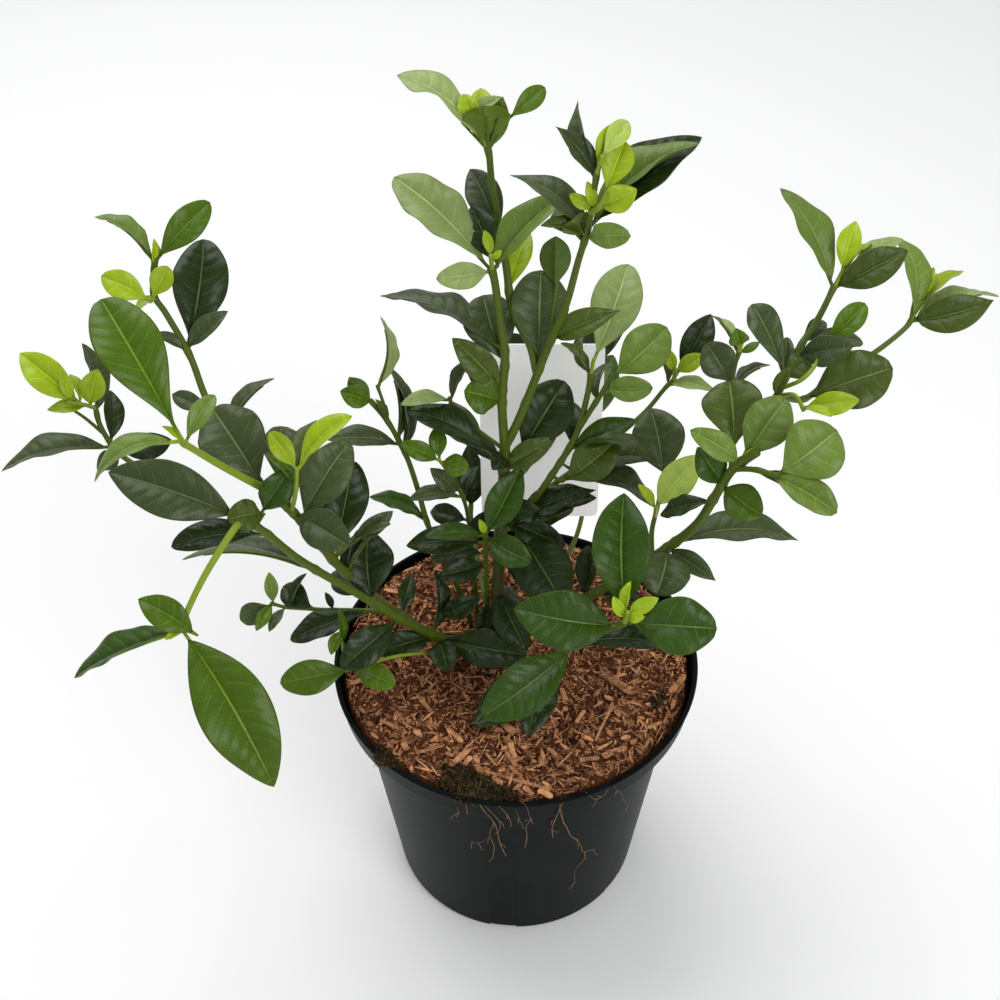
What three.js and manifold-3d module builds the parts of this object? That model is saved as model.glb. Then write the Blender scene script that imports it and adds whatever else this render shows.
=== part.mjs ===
// Potted gardenia: a leafy evergreen shrub without flowers, in a black nursery pot with wood-chip mulch.
// Millimetres, +Z up. The origin is the centre of the pot's underside. The front of the plant faces -Y.
import * as THREE from "three";
import { mergeVertices } from "three/addons/utils/BufferGeometryUtils.js";
import Module from "manifold-3d";

const wasm = await Module();
wasm.setup();

// Driving dimensions of the pot, a common five-litre container
const RIM_RADIUS = 115;
const POT_HEIGHT = 188;
const BASE_RADIUS = 83;
const COLLAR_HEIGHT = 19;
const NECK_RADIUS = 102;
const COLLAR_RADIUS = 112;
const WALL = 1.6;
const FLOOR = 3;
const POT_SIDES = 24;
const POT_LEDGE = 1.5;
const LIP_DEPTH = 3;
const LIP_ROUND = 1.2;
const DRAIN_COUNT = 6;
const DRAIN_LENGTH = 10;
const DRAIN_WIDTH = 18;
const DRAIN_HEIGHT = 5;
const DRAIN_TURN = THREE.MathUtils.degToRad(-6);

// The mulch lies a little below the rim, heaped towards the stems and drawn up along the wall
const SOIL_DROP = 12;
const SOIL_TOP = POT_HEIGHT - SOIL_DROP;
const SOIL_HEAP = 5;
const SOIL_BRIM = 5;
const SOIL_LUMPS = 1.3;
const SOIL_RINGS = [0.97, 0.8, 0.56, 0.3, 0];
const CHIP_COUNT = 6;
const CHIP_SEED = 7;

// The bare card that stands behind the stems, on a stake
const LABEL = { width: 77, height: 135, foot: 222, centre: 15.7, back: 92, lean: 8, thickness: 1, corner: 5 };
const STAKE = { width: 12, top: 232, bottom: 140, point: 20 };

// Gaps, stems and blades
const GAP = 0.3;
const ROOT_DEPTH = 26;
const STEM_SIDES = 6;
const TWIG_SIDES = 5;
const TWIG_RADIUS = 3.3;
const STEM_STEP = 30;
const BLADE_THICKNESS = 0.8;
const EDGE_THICKNESS = 0.6;
const STALK_SHARE = 0.07;
const STALK_HALF_WIDTH = 0.8;
const TWIG_STALK_HALF_WIDTH = 0.6;
const WIDEST_BLADE = 40;
const LONG_BLADE = 50;
const SMALL_BLADE = 45;
const LONGEST_SNAP = 4;
const SAMPLES_PER_STEP = 20;
const STEEPEST_TURN = 1.35;
const INWARD_PULL = 0.3;
const PAIR_SPACING = 60;

// The viewing point from which the plant was surveyed, so that a place can be given by its picture point
const VIEW = {
  centreU: 516,
  centreV: 500,
  focal: 1376,
  elevation: THREE.MathUtils.degToRad(42.37),
  distance: 783,
  aimHeight: POT_HEIGHT + 1.146 * RIM_RADIUS,
};
const VIEW_BACK = new THREE.Vector3(0, -Math.cos(VIEW.elevation), Math.sin(VIEW.elevation));
const VIEW_UP = new THREE.Vector3(0, Math.sin(VIEW.elevation), Math.cos(VIEW.elevation));
const EYE = new THREE.Vector3(0, 0, VIEW.aimHeight).addScaledVector(VIEW_BACK, VIEW.distance);

const COLOURS = {
  pot: 0x23292b,
  mulch: 0x8a5a3c,
  label: 0xe9e9e6,
  dark: 0x31472e,
  grey: 0x4b5c4b,
  olive: 0x566b2a,
  mid: 0x4f7a2a,
  bright: 0x6f9a24,
  lime: 0xa9c734,
  pale: 0xc3d67f,
};

// The direction from the eye through a picture point
function sightLine(u, v) {
  return new THREE.Vector3(u - VIEW.centreU, 0, 0)
    .addScaledVector(VIEW_UP, VIEW.centreV - v)
    .addScaledVector(VIEW_BACK, -VIEW.focal);
}

// The point seen at (u, v) that lies in the upright plane y, which is positive behind the pot's axis
function placeAt(u, v, y) {
  const ray = sightLine(u, v);
  return EYE.clone().addScaledVector(ray, (y - EYE.y) / ray.y);
}

// The point seen at (u, v) that is as far from the eye as the anchor, or nearer by some millimetres
function placeBeside(u, v, anchor, nearer) {
  const ray = sightLine(u, v);
  const range = EYE.clone().sub(anchor).dot(VIEW_BACK) - nearer;
  return EYE.clone().addScaledVector(ray, range / VIEW.focal);
}

// A repeatable random number between 0 and 1
function seededRandom(seed) {
  let state = seed;
  return () => {
    state = (state * 16807) % 2147483647;
    return state / 2147483647;
  };
}

// A closed mesh becomes a solid for joining and cutting
function toSolid(geometry) {
  const bare = geometry.index ? geometry.toNonIndexed() : geometry.clone();
  bare.deleteAttribute("normal");
  bare.deleteAttribute("uv");
  const merged = mergeVertices(bare, 1e-4);
  return new wasm.Manifold(new wasm.Mesh({
    numProp: 3,
    vertProperties: new Float32Array(merged.attributes.position.array),
    triVerts: new Uint32Array(merged.index.array),
  }));
}

// The largest piece of a solid, as a three.js geometry
function toGeometry(solid) {
  const pieces = solid.decompose().sort((a, b) => b.volume() - a.volume());
  const mesh = pieces[0].getMesh();
  const geometry = new THREE.BufferGeometry();
  geometry.setAttribute("position", new THREE.BufferAttribute(new Float32Array(mesh.vertProperties), 3));
  geometry.setIndex(new THREE.BufferAttribute(new Uint32Array(mesh.triVerts), 1));
  geometry.computeVertexNormals();
  return geometry;
}

// A closed skin over rings of equal count, with its ends capped by the given triangles
function loft(rings, capTriangles) {
  const count = rings[0].length;
  const positions = rings.flat().flatMap((point) => [point.x, point.y, point.z]);
  const index = [];
  for (let row = 0; row + 1 < rings.length; row += 1) {
    for (let side = 0; side < count; side += 1) {
      const next = (side + 1) % count;
      const a = row * count + side;
      const b = row * count + next;
      const c = a + count;
      const d = b + count;
      const crossed = count !== 5 && side >= count / 2;
      index.push(...(crossed ? [a, b, d, a, d, c] : [a, b, c, b, d, c]));
    }
  }
  const last = (rings.length - 1) * count;
  for (const [a, b, c] of capTriangles) {
    index.push(a, c, b, last + a, last + b, last + c);
  }
  const geometry = new THREE.BufferGeometry();
  geometry.setAttribute("position", new THREE.Float32BufferAttribute(positions, 3));
  geometry.setIndex(index);
  return geometry;
}

// The smooth curve through a stem's points, and the number of straight steps that it is made in
function stemCourse(stem) {
  const curve = new THREE.CatmullRomCurve3(stem.points, false, "centripetal");
  return { curve, steps: Math.max(1, Math.round(curve.getLength() / STEM_STEP)) };
}

// A round stem that thins towards its end
function stemSolid(stem, grow) {
  const { curve, steps } = stemCourse(stem);
  const sides = stem.radius > TWIG_RADIUS ? STEM_SIDES : TWIG_SIDES;
  const frames = curve.computeFrenetFrames(steps);
  const rings = [];
  for (let step = 0; step <= steps; step += 1) {
    const t = step / steps;
    const radius = THREE.MathUtils.lerp(stem.radius, stem.radius * stem.taper, t) + grow;
    const centre = curve.getPointAt(t);
    const ring = [];
    for (let side = 0; side < sides; side += 1) {
      const angle = (side / sides) * 2 * Math.PI;
      ring.push(centre.clone()
        .addScaledVector(frames.normals[step], radius * Math.cos(angle))
        .addScaledVector(frames.binormals[step], radius * Math.sin(angle)));
    }
    rings.push(ring);
  }
  const fan = [];
  for (let side = 1; side + 1 < sides; side += 1) {
    fan.push([0, side, side + 1]);
  }
  return toSolid(loft(rings, fan));
}

// Half the width of a blade at a share of its length, as a share of its greatest half width
function bladeProfile(share) {
  if (share <= STALK_SHARE || share >= 1) {
    return 0;
  }
  const along = (share - STALK_SHARE) / (1 - STALK_SHARE);
  return Math.sin(Math.PI * along ** 0.92) ** 0.85;
}

// Where along its length a blade has cross-sections
function bladeRows(length) {
  return length > LONG_BLADE ? [0, 0.17, 0.46, 0.8, 1] : [0, 0.3, 0.74, 1];
}

// The upper side of a blade looks at the eye, turned about the rib until it shows the width that is seen
function bladeNormal(leaf, axis, middle, width) {
  const towardsEye = EYE.clone().sub(middle).normalize();
  const facing = towardsEye.addScaledVector(axis, -towardsEye.dot(axis)).normalize();
  const shown = Math.min(1, leaf.seen / width);
  const turn = Math.min(Math.acos(shown), STEEPEST_TURN);
  const options = [turn, -turn].map((angle) => facing.clone().applyAxisAngle(axis, angle));
  const pull = -Math.sign(middle.x) * INWARD_PULL;
  options.sort((a, b) => (b.z + pull * b.x) - (a.z + pull * a.x));
  return leaf.under ? options[0].negate() : options[0];
}

// A thin leaf blade with a short stalk, folded up a little along its rib and arched along its length
function bladeSolid(leaf, grow) {
  const span = leaf.tip.clone().sub(leaf.base);
  const length = span.length();
  const axis = span.clone().normalize();
  const width = Math.max(leaf.seen, Math.min(leaf.slimness * length, WIDEST_BLADE));
  const middle = leaf.base.clone().lerp(leaf.tip, 0.5);
  const normal = bladeNormal(leaf, axis, middle, width);
  const side = new THREE.Vector3().crossVectors(axis, normal).normalize();
  const fold = THREE.MathUtils.degToRad(length <= SMALL_BLADE ? 0 : leaf.fold);
  const rings = bladeRows(length).map((share) => {
    const rise = leaf.arch * length * 4 * share * (1 - share);
    const slope = leaf.arch * 4 * (1 - 2 * share);
    const centre = leaf.base.clone().addScaledVector(span, share).addScaledVector(normal, rise);
    const up = normal.clone().addScaledVector(axis, -slope).normalize();
    const stalk = leaf.stalk * (share < 0.5 ? 1 : 0.6);
    const half = Math.max(stalk, bladeProfile(share) * width / 2) + grow;
    const wave = leaf.wave * half * Math.sin(share * 3 * Math.PI);
    const margin = (hand) => centre.clone()
      .addScaledVector(side, hand * half * Math.cos(fold))
      .addScaledVector(up, half * Math.sin(fold) + hand * wave);
    const lift = (point, thickness) => point.clone().addScaledVector(up, thickness / 2);
    const rib = BLADE_THICKNESS + 2 * grow;
    const edge = EDGE_THICKNESS + 2 * grow;
    if (length <= SMALL_BLADE) {
      return [lift(margin(-1), rib), lift(margin(1), rib), lift(margin(1), -rib), lift(margin(-1), -rib)];
    }
    return [
      lift(margin(-1), edge), lift(centre, rib), lift(margin(1), edge),
      lift(margin(1), -edge), lift(centre, -rib), lift(margin(-1), -edge),
    ];
  });
  const caps = length <= SMALL_BLADE
    ? [[0, 1, 2], [0, 2, 3]]
    : [[0, 1, 4], [0, 4, 5], [1, 2, 3], [1, 3, 4]];
  return toSolid(loft(rings, caps));
}

// The point on the middle line of the stems, short of their ends, that is nearest by a measure of distance
function nearestOnStems(stems, distanceTo) {
  let best = null;
  for (const stem of stems) {
    const { curve, steps } = stemCourse(stem);
    const corners = curve.getSpacedPoints(steps);
    for (let sample = 1; sample < steps * SAMPLES_PER_STEP; sample += 1) {
      const step = Math.floor(sample / SAMPLES_PER_STEP);
      const point = corners[step].clone().lerp(corners[step + 1], sample / SAMPLES_PER_STEP - step);
      const distance = distanceTo(point);
      if (!best || distance < best.distance) {
        best = { distance, point };
      }
    }
  }
  return best.point;
}

// A stem that starts on the middle line of the stems that carry it
function seatStem(stem, carriers) {
  const start = nearestOnStems(carriers, (point) => point.distanceTo(stem.points[0]));
  return { ...stem, points: [start, ...stem.points.slice(1)] };
}

// The stems of a shoot: the first one starts on the shoot that carries it, the others on earlier ones here
function seatStems(stems, carriers) {
  const seated = [carriers ? seatStem(stems[0], carriers) : stems[0]];
  for (const side of stems.slice(1)) {
    seated.push(seatStem(side, seated));
  }
  return seated;
}

// The picture point at which a point in space is seen
function pictureOf(point) {
  const offset = point.clone().sub(EYE);
  const depth = -offset.dot(VIEW_BACK);
  return new THREE.Vector2(
    VIEW.centreU + VIEW.focal * offset.x / depth,
    VIEW.centreV - VIEW.focal * offset.dot(VIEW_UP) / depth,
  );
}

// A stem through picture points, each with its place in front of (-) or behind (+) the pot's axis
function stem(points, radius = 1.8, options = {}) {
  const places = points.map(([u, v, y]) => placeAt(u, v, y));
  if (options.rooted) {
    places.unshift(places[0].clone().add(new THREE.Vector3(0, 0, -ROOT_DEPTH)));
  }
  return { points: places, radius, taper: 0.75, play: 1.5, ...options };
}

// A leaf from the picture point of its base to that of its tip, with the width in millimetres that is seen
function leaf(base, tip, seen, options = {}) {
  return { base, tip, seen, options };
}

// A leaf's base goes on its shoot's stem and its tip as far from the eye, or nearer by options.near
function settleLeaf(spec, stems) {
  const { near = 0, ...options } = spec.options;
  const [baseU, baseV] = spec.base;
  const wanted = new THREE.Vector2(baseU, baseV);
  const joint = nearestOnStems(stems, (point) => pictureOf(point).distanceTo(wanted));
  const marked = placeBeside(baseU, baseV, joint, 0);
  const base = marked.distanceTo(joint) > LONGEST_SNAP ? marked : joint;
  const tip = placeBeside(spec.tip[0], spec.tip[1], base, near);
  const stalk = base.distanceTo(tip) > SMALL_BLADE ? STALK_HALF_WIDTH : TWIG_STALK_HALF_WIDTH;
  const plain = { arch: 0.1, fold: 14, wave: 0, slimness: 0.4 };
  return { base, tip, joint, seen: spec.seen, stalk, ...plain, ...options };
}

// A leafy stem: its stems and leaves joined in one solid, which may be grown all round for clearance
function shootSolid(shoot, grow) {
  const solids = shoot.stems.map((item) => stemSolid(item, grow));
  for (const item of shoot.leaves) {
    solids.push(bladeSolid(item, grow));
    if (item.base !== item.joint) {
      const link = { points: [item.joint, item.base], radius: item.stalk, taper: 1 };
      solids.push(stemSolid(link, grow));
    }
  }
  return wasm.Manifold.union(solids);
}

// Leaves in opposite pairs on a stem given in millimetres, for the side that the survey didn't see.
// They turn away from the card, which stands in front of them.
function pairedLeaves(points, length, seed) {
  const random = seededRandom(seed);
  const { curve } = stemCourse({ points });
  const pairs = Math.round(curve.getLength() / PAIR_SPACING);
  const bareShare = 0.3;
  const leaves = [];
  for (let pair = 1; pair <= pairs; pair += 1) {
    const share = bareShare + (1 - bareShare) * pair / pairs;
    const joint = curve.getPointAt(share);
    const ahead = curve.getTangentAt(share);
    const across = new THREE.Vector3(0, 0, 1).cross(ahead).normalize();
    across.applyAxisAngle(ahead, (pair % 2) * Math.PI / 2 + 0.5 * random());
    for (const hand of [-1, 1]) {
      const reach = length * (0.85 + 0.3 * random());
      const way = across.clone().multiplyScalar(hand).addScaledVector(ahead, 0.55).normalize();
      way.setY(Math.abs(way.y));
      const tip = joint.clone().addScaledVector(way, reach);
      leaves.push({
        base: joint, tip, joint, seen: 0.42 * reach, arch: 0.12, fold: 14, wave: 0, slimness: 0.42,
        stalk: STALK_HALF_WIDTH,
      });
    }
  }
  return leaves;
}

// The whole shrub, one entry for each leafy stem or young tip, each after the one that carries it.
// Where two would touch, the later one gives way.
const SHRUB = [
  {
    name: "main_stem", colour: "dark",
    stems: [
      stem([[493, 660, 6], [497, 600, 14], [500, 540, 22], [503, 490, 30], [505, 447, 35]], 4.2,
        { rooted: true, play: 3 }),
      stem([[505, 447, 35], [502, 400, 37], [505, 355, 40], [500, 320, 42], [494, 278, 45], [491, 268, 45]], 2.8),
      stem([[503, 450, 36], [478, 430, 45], [455, 410, 48], [449, 397, 50]], 1.3),
    ],
    leaves: [
      leaf([488, 266], [394, 177], 24, { near: -6 }),
      leaf([488, 270], [436, 279], 12, { near: 14 }),
      leaf([498, 266], [471, 206], 18, { near: -4 }),
      leaf([498, 266], [570, 192], 14, { near: 6, fold: 30 }),
      leaf([500, 352], [379, 296], 14, { near: -18 }),
      leaf([502, 366], [483, 298], 31, { near: -8 }),
      leaf([504, 390], [452, 338], 18, { near: 18 }),
      leaf([504, 430], [465, 389], 20, { near: 14, fold: 22 }),
      leaf([503, 455], [408, 415], 16, { near: 12 }),
      leaf([503, 470], [442, 432], 12, { near: -10 }),
      leaf([449, 397], [478, 357], 8, { near: 4, fold: 26 }),
      leaf([449, 397], [400, 405], 9, { near: 8, arch: 0.16 }),
      leaf([506, 460], [560, 383], 28, { near: 4 }),
      leaf([506, 456], [552, 440], 12, { near: 14 }),
      leaf([500, 535], [597, 498], 17, { near: 14 }),
      leaf([498, 560], [577, 592], 29, { near: 14 }),
      leaf([497, 615], [516, 590], 20, { near: -16 }),
    ],
  },
  {
    name: "left_arm", on: "main_stem", colour: "dark",
    stems: [
      stem([[494, 640, 9], [440, 638, 0], [400, 615, -4], [365, 590, -8], [335, 562, -12], [305, 525, -18],
        [280, 500, -22], [262, 487, -25]], 3.2),
      stem([[442, 642, -4], [398, 618, -12], [360, 595, -20], [300, 560, -32], [262, 530, -40], [240, 517, -44]],
        2.8),
    ],
    leaves: [
      leaf([260, 488], [212, 410], 33, { near: -4 }),
      leaf([240, 517], [108, 472], 31, { near: 4 }),
      leaf([244, 520], [288, 470], 20, { near: 10, arch: 0.2 }),
      leaf([270, 536], [171, 549], 14, { near: 12 }),
      leaf([312, 568], [182, 562], 6, { near: -8, fold: 24 }),
      leaf([302, 520], [352, 443], 24, { near: 8 }),
      leaf([333, 558], [356, 458], 23, { near: -14 }),
      leaf([290, 505], [320, 420], 13, { near: -16 }),
      leaf([284, 502], [283, 425], 16, { near: -22 }),
      leaf([306, 526], [346, 553], 20, { near: 18 }),
      leaf([378, 600], [372, 530], 28, { near: -10 }),
      leaf([372, 596], [332, 582], 16, { near: -18 }),
      leaf([345, 572], [391, 518], 8, { near: 6, fold: 28 }),
      leaf([398, 618], [343, 670], 19, { near: 14 }),
      leaf([436, 639], [375, 654], 17, { near: 8 }),
      leaf([440, 640], [447, 672], 16, { near: 22 }),
      leaf([440, 637], [515, 649], 22, { near: 16 }),
      leaf([434, 634], [440, 565], 7, { near: 4, fold: 26 }),
    ],
  },
  {
    name: "right_arm", on: "main_stem", colour: "mid",
    stems: [
      stem([[500, 640, 8], [560, 610, -2], [610, 585, -12], [640, 565, -18], [667, 548, -24], [697, 524, -32],
        [717, 493, -38], [734, 468, -44], [757, 452, -50]], 3.2),
      stem([[734, 468, -44], [757, 470, -58], [779, 476, -68]], 1.6),
    ],
    leaves: [
      leaf([734, 462], [725, 381], 27, { near: -8 }),
      leaf([740, 460], [784, 400], 24, { near: 6 }),
      leaf([779, 476], [839, 436], 29, { near: 4 }),
      leaf([734, 464], [691, 440], 12, { near: 16, arch: 0.18 }),
      leaf([722, 484], [697, 447], 17, { near: 10 }),
      leaf([720, 487], [762, 517], 17, { near: 16 }),
      leaf([760, 473], [830, 520], 12, { near: 14, fold: 24 }),
      leaf([757, 470], [807, 505], 9, { near: -10, fold: 24 }),
      leaf([667, 549], [655, 595], 28, { near: 16 }),
      leaf([668, 549], [715, 581], 12, { near: 6, fold: 26 }),
      leaf([676, 543], [797, 542], 16, { near: -4 }),
      leaf([712, 500], [660, 515], 11, { near: -20 }),
      leaf([600, 590], [640, 600], 14, { near: 6 }),
    ],
  },
  {
    name: "top_right_stem", on: "main_stem", colour: "mid",
    stems: [
      stem([[505, 447, 35], [514, 430, 35], [527, 400, 36], [538, 372, 35], [552, 338, 28], [566, 305, 20],
        [578, 262, 12], [588, 228, 5], [597, 172, 0]], 2.8, { taper: 0.5 }),
      stem([[548, 348, 30], [553, 310, 44], [557, 284, 52]], 1.3),
    ],
    leaves: [
      leaf([584, 232], [510, 175], 15, { near: -6, arch: 0.14 }),
      leaf([589, 230], [703, 139], 25, { near: 6 }),
      leaf([587, 234], [629, 233], 10, { near: 18, arch: 0.2 }),
      leaf([587, 238], [572, 222], 12, { near: 12, under: true }),
      leaf([597, 174], [580, 101], 9, { near: -4, fold: 26 }),
      leaf([596, 178], [556, 127], 11, { near: 6, fold: 24 }),
      leaf([584, 240], [556, 207], 18, { near: -18 }),
      leaf([557, 284], [556, 236], 19, { near: 10, under: true, fold: 24 }),
      leaf([540, 368], [546, 275], 32, { near: 12 }),
      leaf([556, 338], [622, 312], 12, { near: 10, fold: 24 }),
    ],
  },
  {
    name: "top_stem", on: "top_right_stem", colour: "olive",
    stems: [
      stem([[538, 372, 38], [530, 345, 40], [513, 312, 48], [506, 266, 58], [500, 235, 66], [497, 212, 72],
        [492, 186, 78], [489, 154, 84], [487, 147, 86]], 2.4),
    ],
    leaves: [
      leaf([488, 149], [500, 96], 24, { near: 14, under: true, fold: 26 }),
      leaf([487, 148], [394, 76], 15, { near: -4, wave: 0.2 }),
      leaf([488, 148], [545, 88], 12, { near: -8 }),
      leaf([501, 238], [470, 169], 20, { near: -12 }),
      leaf([509, 290], [534, 232], 13, { near: -10 }),
    ],
  },
  {
    name: "centre_right_stem", on: "main_stem", colour: "olive",
    stems: [
      stem([[502, 530, 24], [520, 520, 25], [538, 495, 28], [568, 450, 36], [578, 430, 38], [588, 392, 42],
        [591, 372, 45]], 2.2),
      stem([[578, 430, 38], [592, 408, 37], [607, 385, 36], [612, 375, 36]], 1.8),
    ],
    leaves: [
      leaf([556, 470], [611, 438], 20, { near: 12 }),
      leaf([570, 446], [573, 402], 13, { near: -14 }),
      leaf([572, 444], [635, 421], 11, { near: 4 }),
      leaf([556, 470], [660, 460], 11, { near: -8 }),
      leaf([570, 448], [648, 452], 8, { near: 22 }),
      leaf([546, 484], [640, 498], 12, { near: -2 }),
      leaf([591, 372], [560, 343], 6, { near: 10, fold: 26 }),
      leaf([611, 377], [667, 327], 23, { near: 4 }),
      leaf([609, 382], [652, 386], 13, { near: 14, arch: 0.16 }),
      leaf([522, 518], [580, 508], 14, { near: 20 }),
    ],
  },
  {
    name: "front_shoot", colour: "mid",
    stems: [
      stem([[522, 695, -24], [545, 668, -30], [570, 647, -38], [595, 634, -50], [617, 626, -60], [626, 622, -64]],
        2.4, { rooted: true, play: 3 }),
    ],
    leaves: [
      leaf([625, 622], [624, 494], 34, { near: -6, fold: 20 }),
      leaf([618, 626], [514, 609], 28, { near: 10 }),
      leaf([626, 624], [717, 615], 27, { near: 8 }),
      leaf([576, 645], [670, 649], 15, { near: 14 }),
      leaf([570, 648], [487, 720], 25, { near: 16 }),
      leaf([546, 668], [526, 733], 22, { near: 30 }),
      leaf([532, 682], [478, 724], 18, { near: 30 }),
    ],
  },
  {
    name: "centre_small_stem", colour: "mid",
    stems: [
      stem([[487, 640, 22], [487, 600, 17], [486, 560, 14], [485, 533, 12]], 1.8, { rooted: true }),
    ],
    leaves: [
      leaf([486, 534], [523, 470], 21, { near: 10 }),
      leaf([485, 534], [424, 537], 11, { near: 12 }),
      leaf([486, 536], [531, 558], 18, { near: 16 }),
      leaf([486, 542], [407, 548], 17, { near: 4 }),
      leaf([487, 592], [442, 608], 12, { near: 18, arch: -0.3 }),
      leaf([486, 565], [438, 578], 11, { near: 14 }),
      leaf([486, 552], [430, 566], 12, { near: -10 }),
    ],
  },
  {
    name: "mid_left_stem", colour: "olive",
    stems: [
      stem([[472, 628, 32], [455, 580, 30], [440, 550, 30], [428, 525, 34], [418, 490, 40], [408, 460, 45],
        [400, 443, 47], [388, 422, 50], [370, 400, 52]], 2, { rooted: true }),
      stem([[388, 422, 50], [383, 402, 54], [377, 385, 57]], 1.2),
    ],
    leaves: [
      leaf([399, 441], [389, 366], 8, { near: 4, fold: 24 }),
      leaf([372, 402], [342, 386], 17, { near: 8, fold: 24 }),
      leaf([377, 385], [380, 316], 5, { near: -2, fold: 26, arch: 0.16 }),
      leaf([400, 443], [325, 437], 10, { near: 8 }),
      leaf([427, 522], [369, 497], 11, { near: 6 }),
    ],
  },
  {
    name: "mid_low_stem", colour: "dark",
    stems: [
      stem([[478, 634, 27], [474, 570, 32], [464, 500, 34], [452, 478, 34], [442, 463, 33]], 1.5, { rooted: true }),
    ],
    leaves: [
      leaf([460, 492], [430, 468], 12, { near: 14 }),
      leaf([462, 496], [408, 500], 10, { near: 6 }),
      leaf([468, 520], [430, 512], 14, { near: -10 }),
    ],
  },
  {
    name: "right_twig", on: "right_arm", colour: "grey",
    stems: [
      stem([[652, 556, -20], [652, 530, -4], [658, 505, 8], [664, 474, 22]], 1.6),
    ],
    leaves: [
      leaf([663, 476], [650, 408], 32, { near: -6 }),
    ],
  },
  {
    name: "right_inner_stem", on: "centre_right_stem", colour: "grey",
    stems: [
      stem([[538, 495, 30], [600, 450, 64], [645, 412, 82], [667, 386, 90], [676, 378, 92]], 1.8),
    ],
    leaves: [
      leaf([675, 378], [711, 314], 15, { near: 4, fold: 22 }),
      leaf([668, 386], [715, 391], 9, { near: 12, arch: 0.16 }),
      leaf([668, 384], [659, 352], 7, { near: -8, fold: 24 }),
    ],
  },
  {
    name: "right_mid_stem", on: "right_arm", colour: "grey",
    stems: [
      stem([[734, 462, -38], [732, 430, -16], [731, 395, -4], [735, 365, 2], [740, 350, 4]], 1.6),
    ],
    leaves: [
      leaf([732, 385], [705, 345], 18, { near: 6 }),
      leaf([738, 354], [711, 315], 4, { near: -12, fold: 26 }),
    ],
  },
  {
    name: "right_high_stem", on: "right_arm", colour: "mid",
    stems: [
      stem([[744, 458, -46], [760, 428, -24], [779, 392, -4], [799, 349, 12], [819, 317, 24], [835, 285, 34]], 2.2),
    ],
    leaves: [
      leaf([834, 287], [780, 189], 16, { near: 0 }),
      leaf([835, 286], [906, 250], 17, { near: 12, fold: 24 }),
      leaf([802, 344], [826, 322], 11, { near: -14 }),
      leaf([800, 350], [861, 338], 12, { near: -10 }),
      leaf([799, 352], [851, 347], 12, { near: 10 }),
      leaf([784, 382], [757, 306], 13, { near: -4, arch: 0.16 }),
      leaf([787, 376], [802, 352], 16, { near: 2 }),
      leaf([777, 396], [790, 362], 13, { near: 18 }),
    ],
  },
  {
    name: "right_far_stem", on: "right_high_stem", colour: "olive",
    stems: [
      stem([[777, 396, -6], [804, 399, 8], [830, 380, 24], [881, 348, 48], [908, 325, 58], [912, 318, 60]], 1.9),
    ],
    leaves: [
      leaf([910, 322], [903, 243], 10, { near: -6, arch: 0.18 }),
      leaf([911, 320], [994, 304], 20, { near: 12, fold: 24 }),
      leaf([911, 320], [999, 297], 9, { near: -14 }),
      leaf([806, 398], [896, 398], 30, { near: 14, arch: 0.16 }),
    ],
  },
  {
    name: "left_bright_stem", on: "left_arm", colour: "bright",
    stems: [
      stem([[262, 487, -26], [222, 466, -48], [183, 443, -72]], 2.2),
    ],
    leaves: [
      leaf([180, 446], [101, 299], 39, { near: 0, wave: 0.1 }),
      leaf([183, 442], [214, 396], 8, { near: -6 }),
    ],
  },
  {
    name: "left_high_stem", on: "left_arm", colour: "dark",
    stems: [
      stem([[262, 487, -22], [235, 445, 0], [207, 400, 18], [190, 356, 32], [165, 312, 44], [154, 295, 48],
        [155, 258, 56]], 2.2),
    ],
    leaves: [
      leaf([187, 349], [204, 240], 30, { near: -4, wave: 0.16 }),
      leaf([188, 350], [228, 311], 12, { near: 8, fold: 26 }),
      leaf([187, 352], [152, 334], 7, { near: 6, fold: 24 }),
      leaf([155, 262], [94, 217], 9, { near: 4, fold: 26, arch: 0.18 }),
      leaf([155, 260], [209, 205], 17, { near: -4 }),
      leaf([212, 408], [172, 394], 11, { near: -8 }),
      leaf([225, 430], [275, 378], 7, { near: -6, fold: 24 }),
    ],
  },
  {
    name: "left_far_stem", on: "left_arm", colour: "dark",
    stems: [
      stem([[240, 517, -40], [180, 490, -8], [118, 452, 18], [100, 425, 28], [95, 405, 33]], 1.9),
      stem([[106, 436, 24], [85, 418, 30], [70, 408, 33]], 1.1),
    ],
    leaves: [
      leaf([112, 444], [110, 390], 12, { near: -8 }),
      leaf([98, 415], [82, 343], 12, { near: -4, fold: 22 }),
      leaf([112, 447], [1, 472], 13, { near: 6, fold: 20 }),
      leaf([118, 452], [172, 440], 16, { near: -10 }),
      leaf([118, 453], [97, 470], 12, { near: 12 }),
    ],
  },
  {
    name: "left_hanging_stem", on: "left_arm", colour: "bright",
    stems: [
      stem([[240, 519, -46], [232, 532, -56], [205, 575, -74], [187, 612, -84], [182, 628, -88]], 2),
    ],
    leaves: [
      leaf([182, 630], [273, 787], 40, { near: 0 }),
      leaf([184, 626], [140, 600], 16, { near: -4 }),
      leaf([183, 628], [75, 678], 13, { near: -10, fold: 22 }),
    ],
  },
  {
    name: "left_small_stem", on: "left_arm", colour: "dark",
    stems: [
      stem([[398, 612, 0], [375, 611, 8], [310, 609, 14], [285, 607, 15], [270, 603, 16]], 1.4),
    ],
    leaves: [
      leaf([271, 603], [256, 630], 7, { near: 10 }),
      leaf([272, 604], [240, 622], 13, { near: -2 }),
      leaf([312, 609], [283, 588], 14, { near: -8 }),
      leaf([290, 607], [307, 573], 6, { near: 2, fold: 24 }),
      leaf([370, 611], [290, 642], 14, { near: 10 }),
    ],
  },
  {
    name: "rim_left_stem", colour: "bright",
    stems: [
      stem([[452, 668, -2], [436, 655, -9], [398, 656, -22], [350, 670, -30]], 1.3, { rooted: true, play: 3.5 }),
    ],
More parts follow.
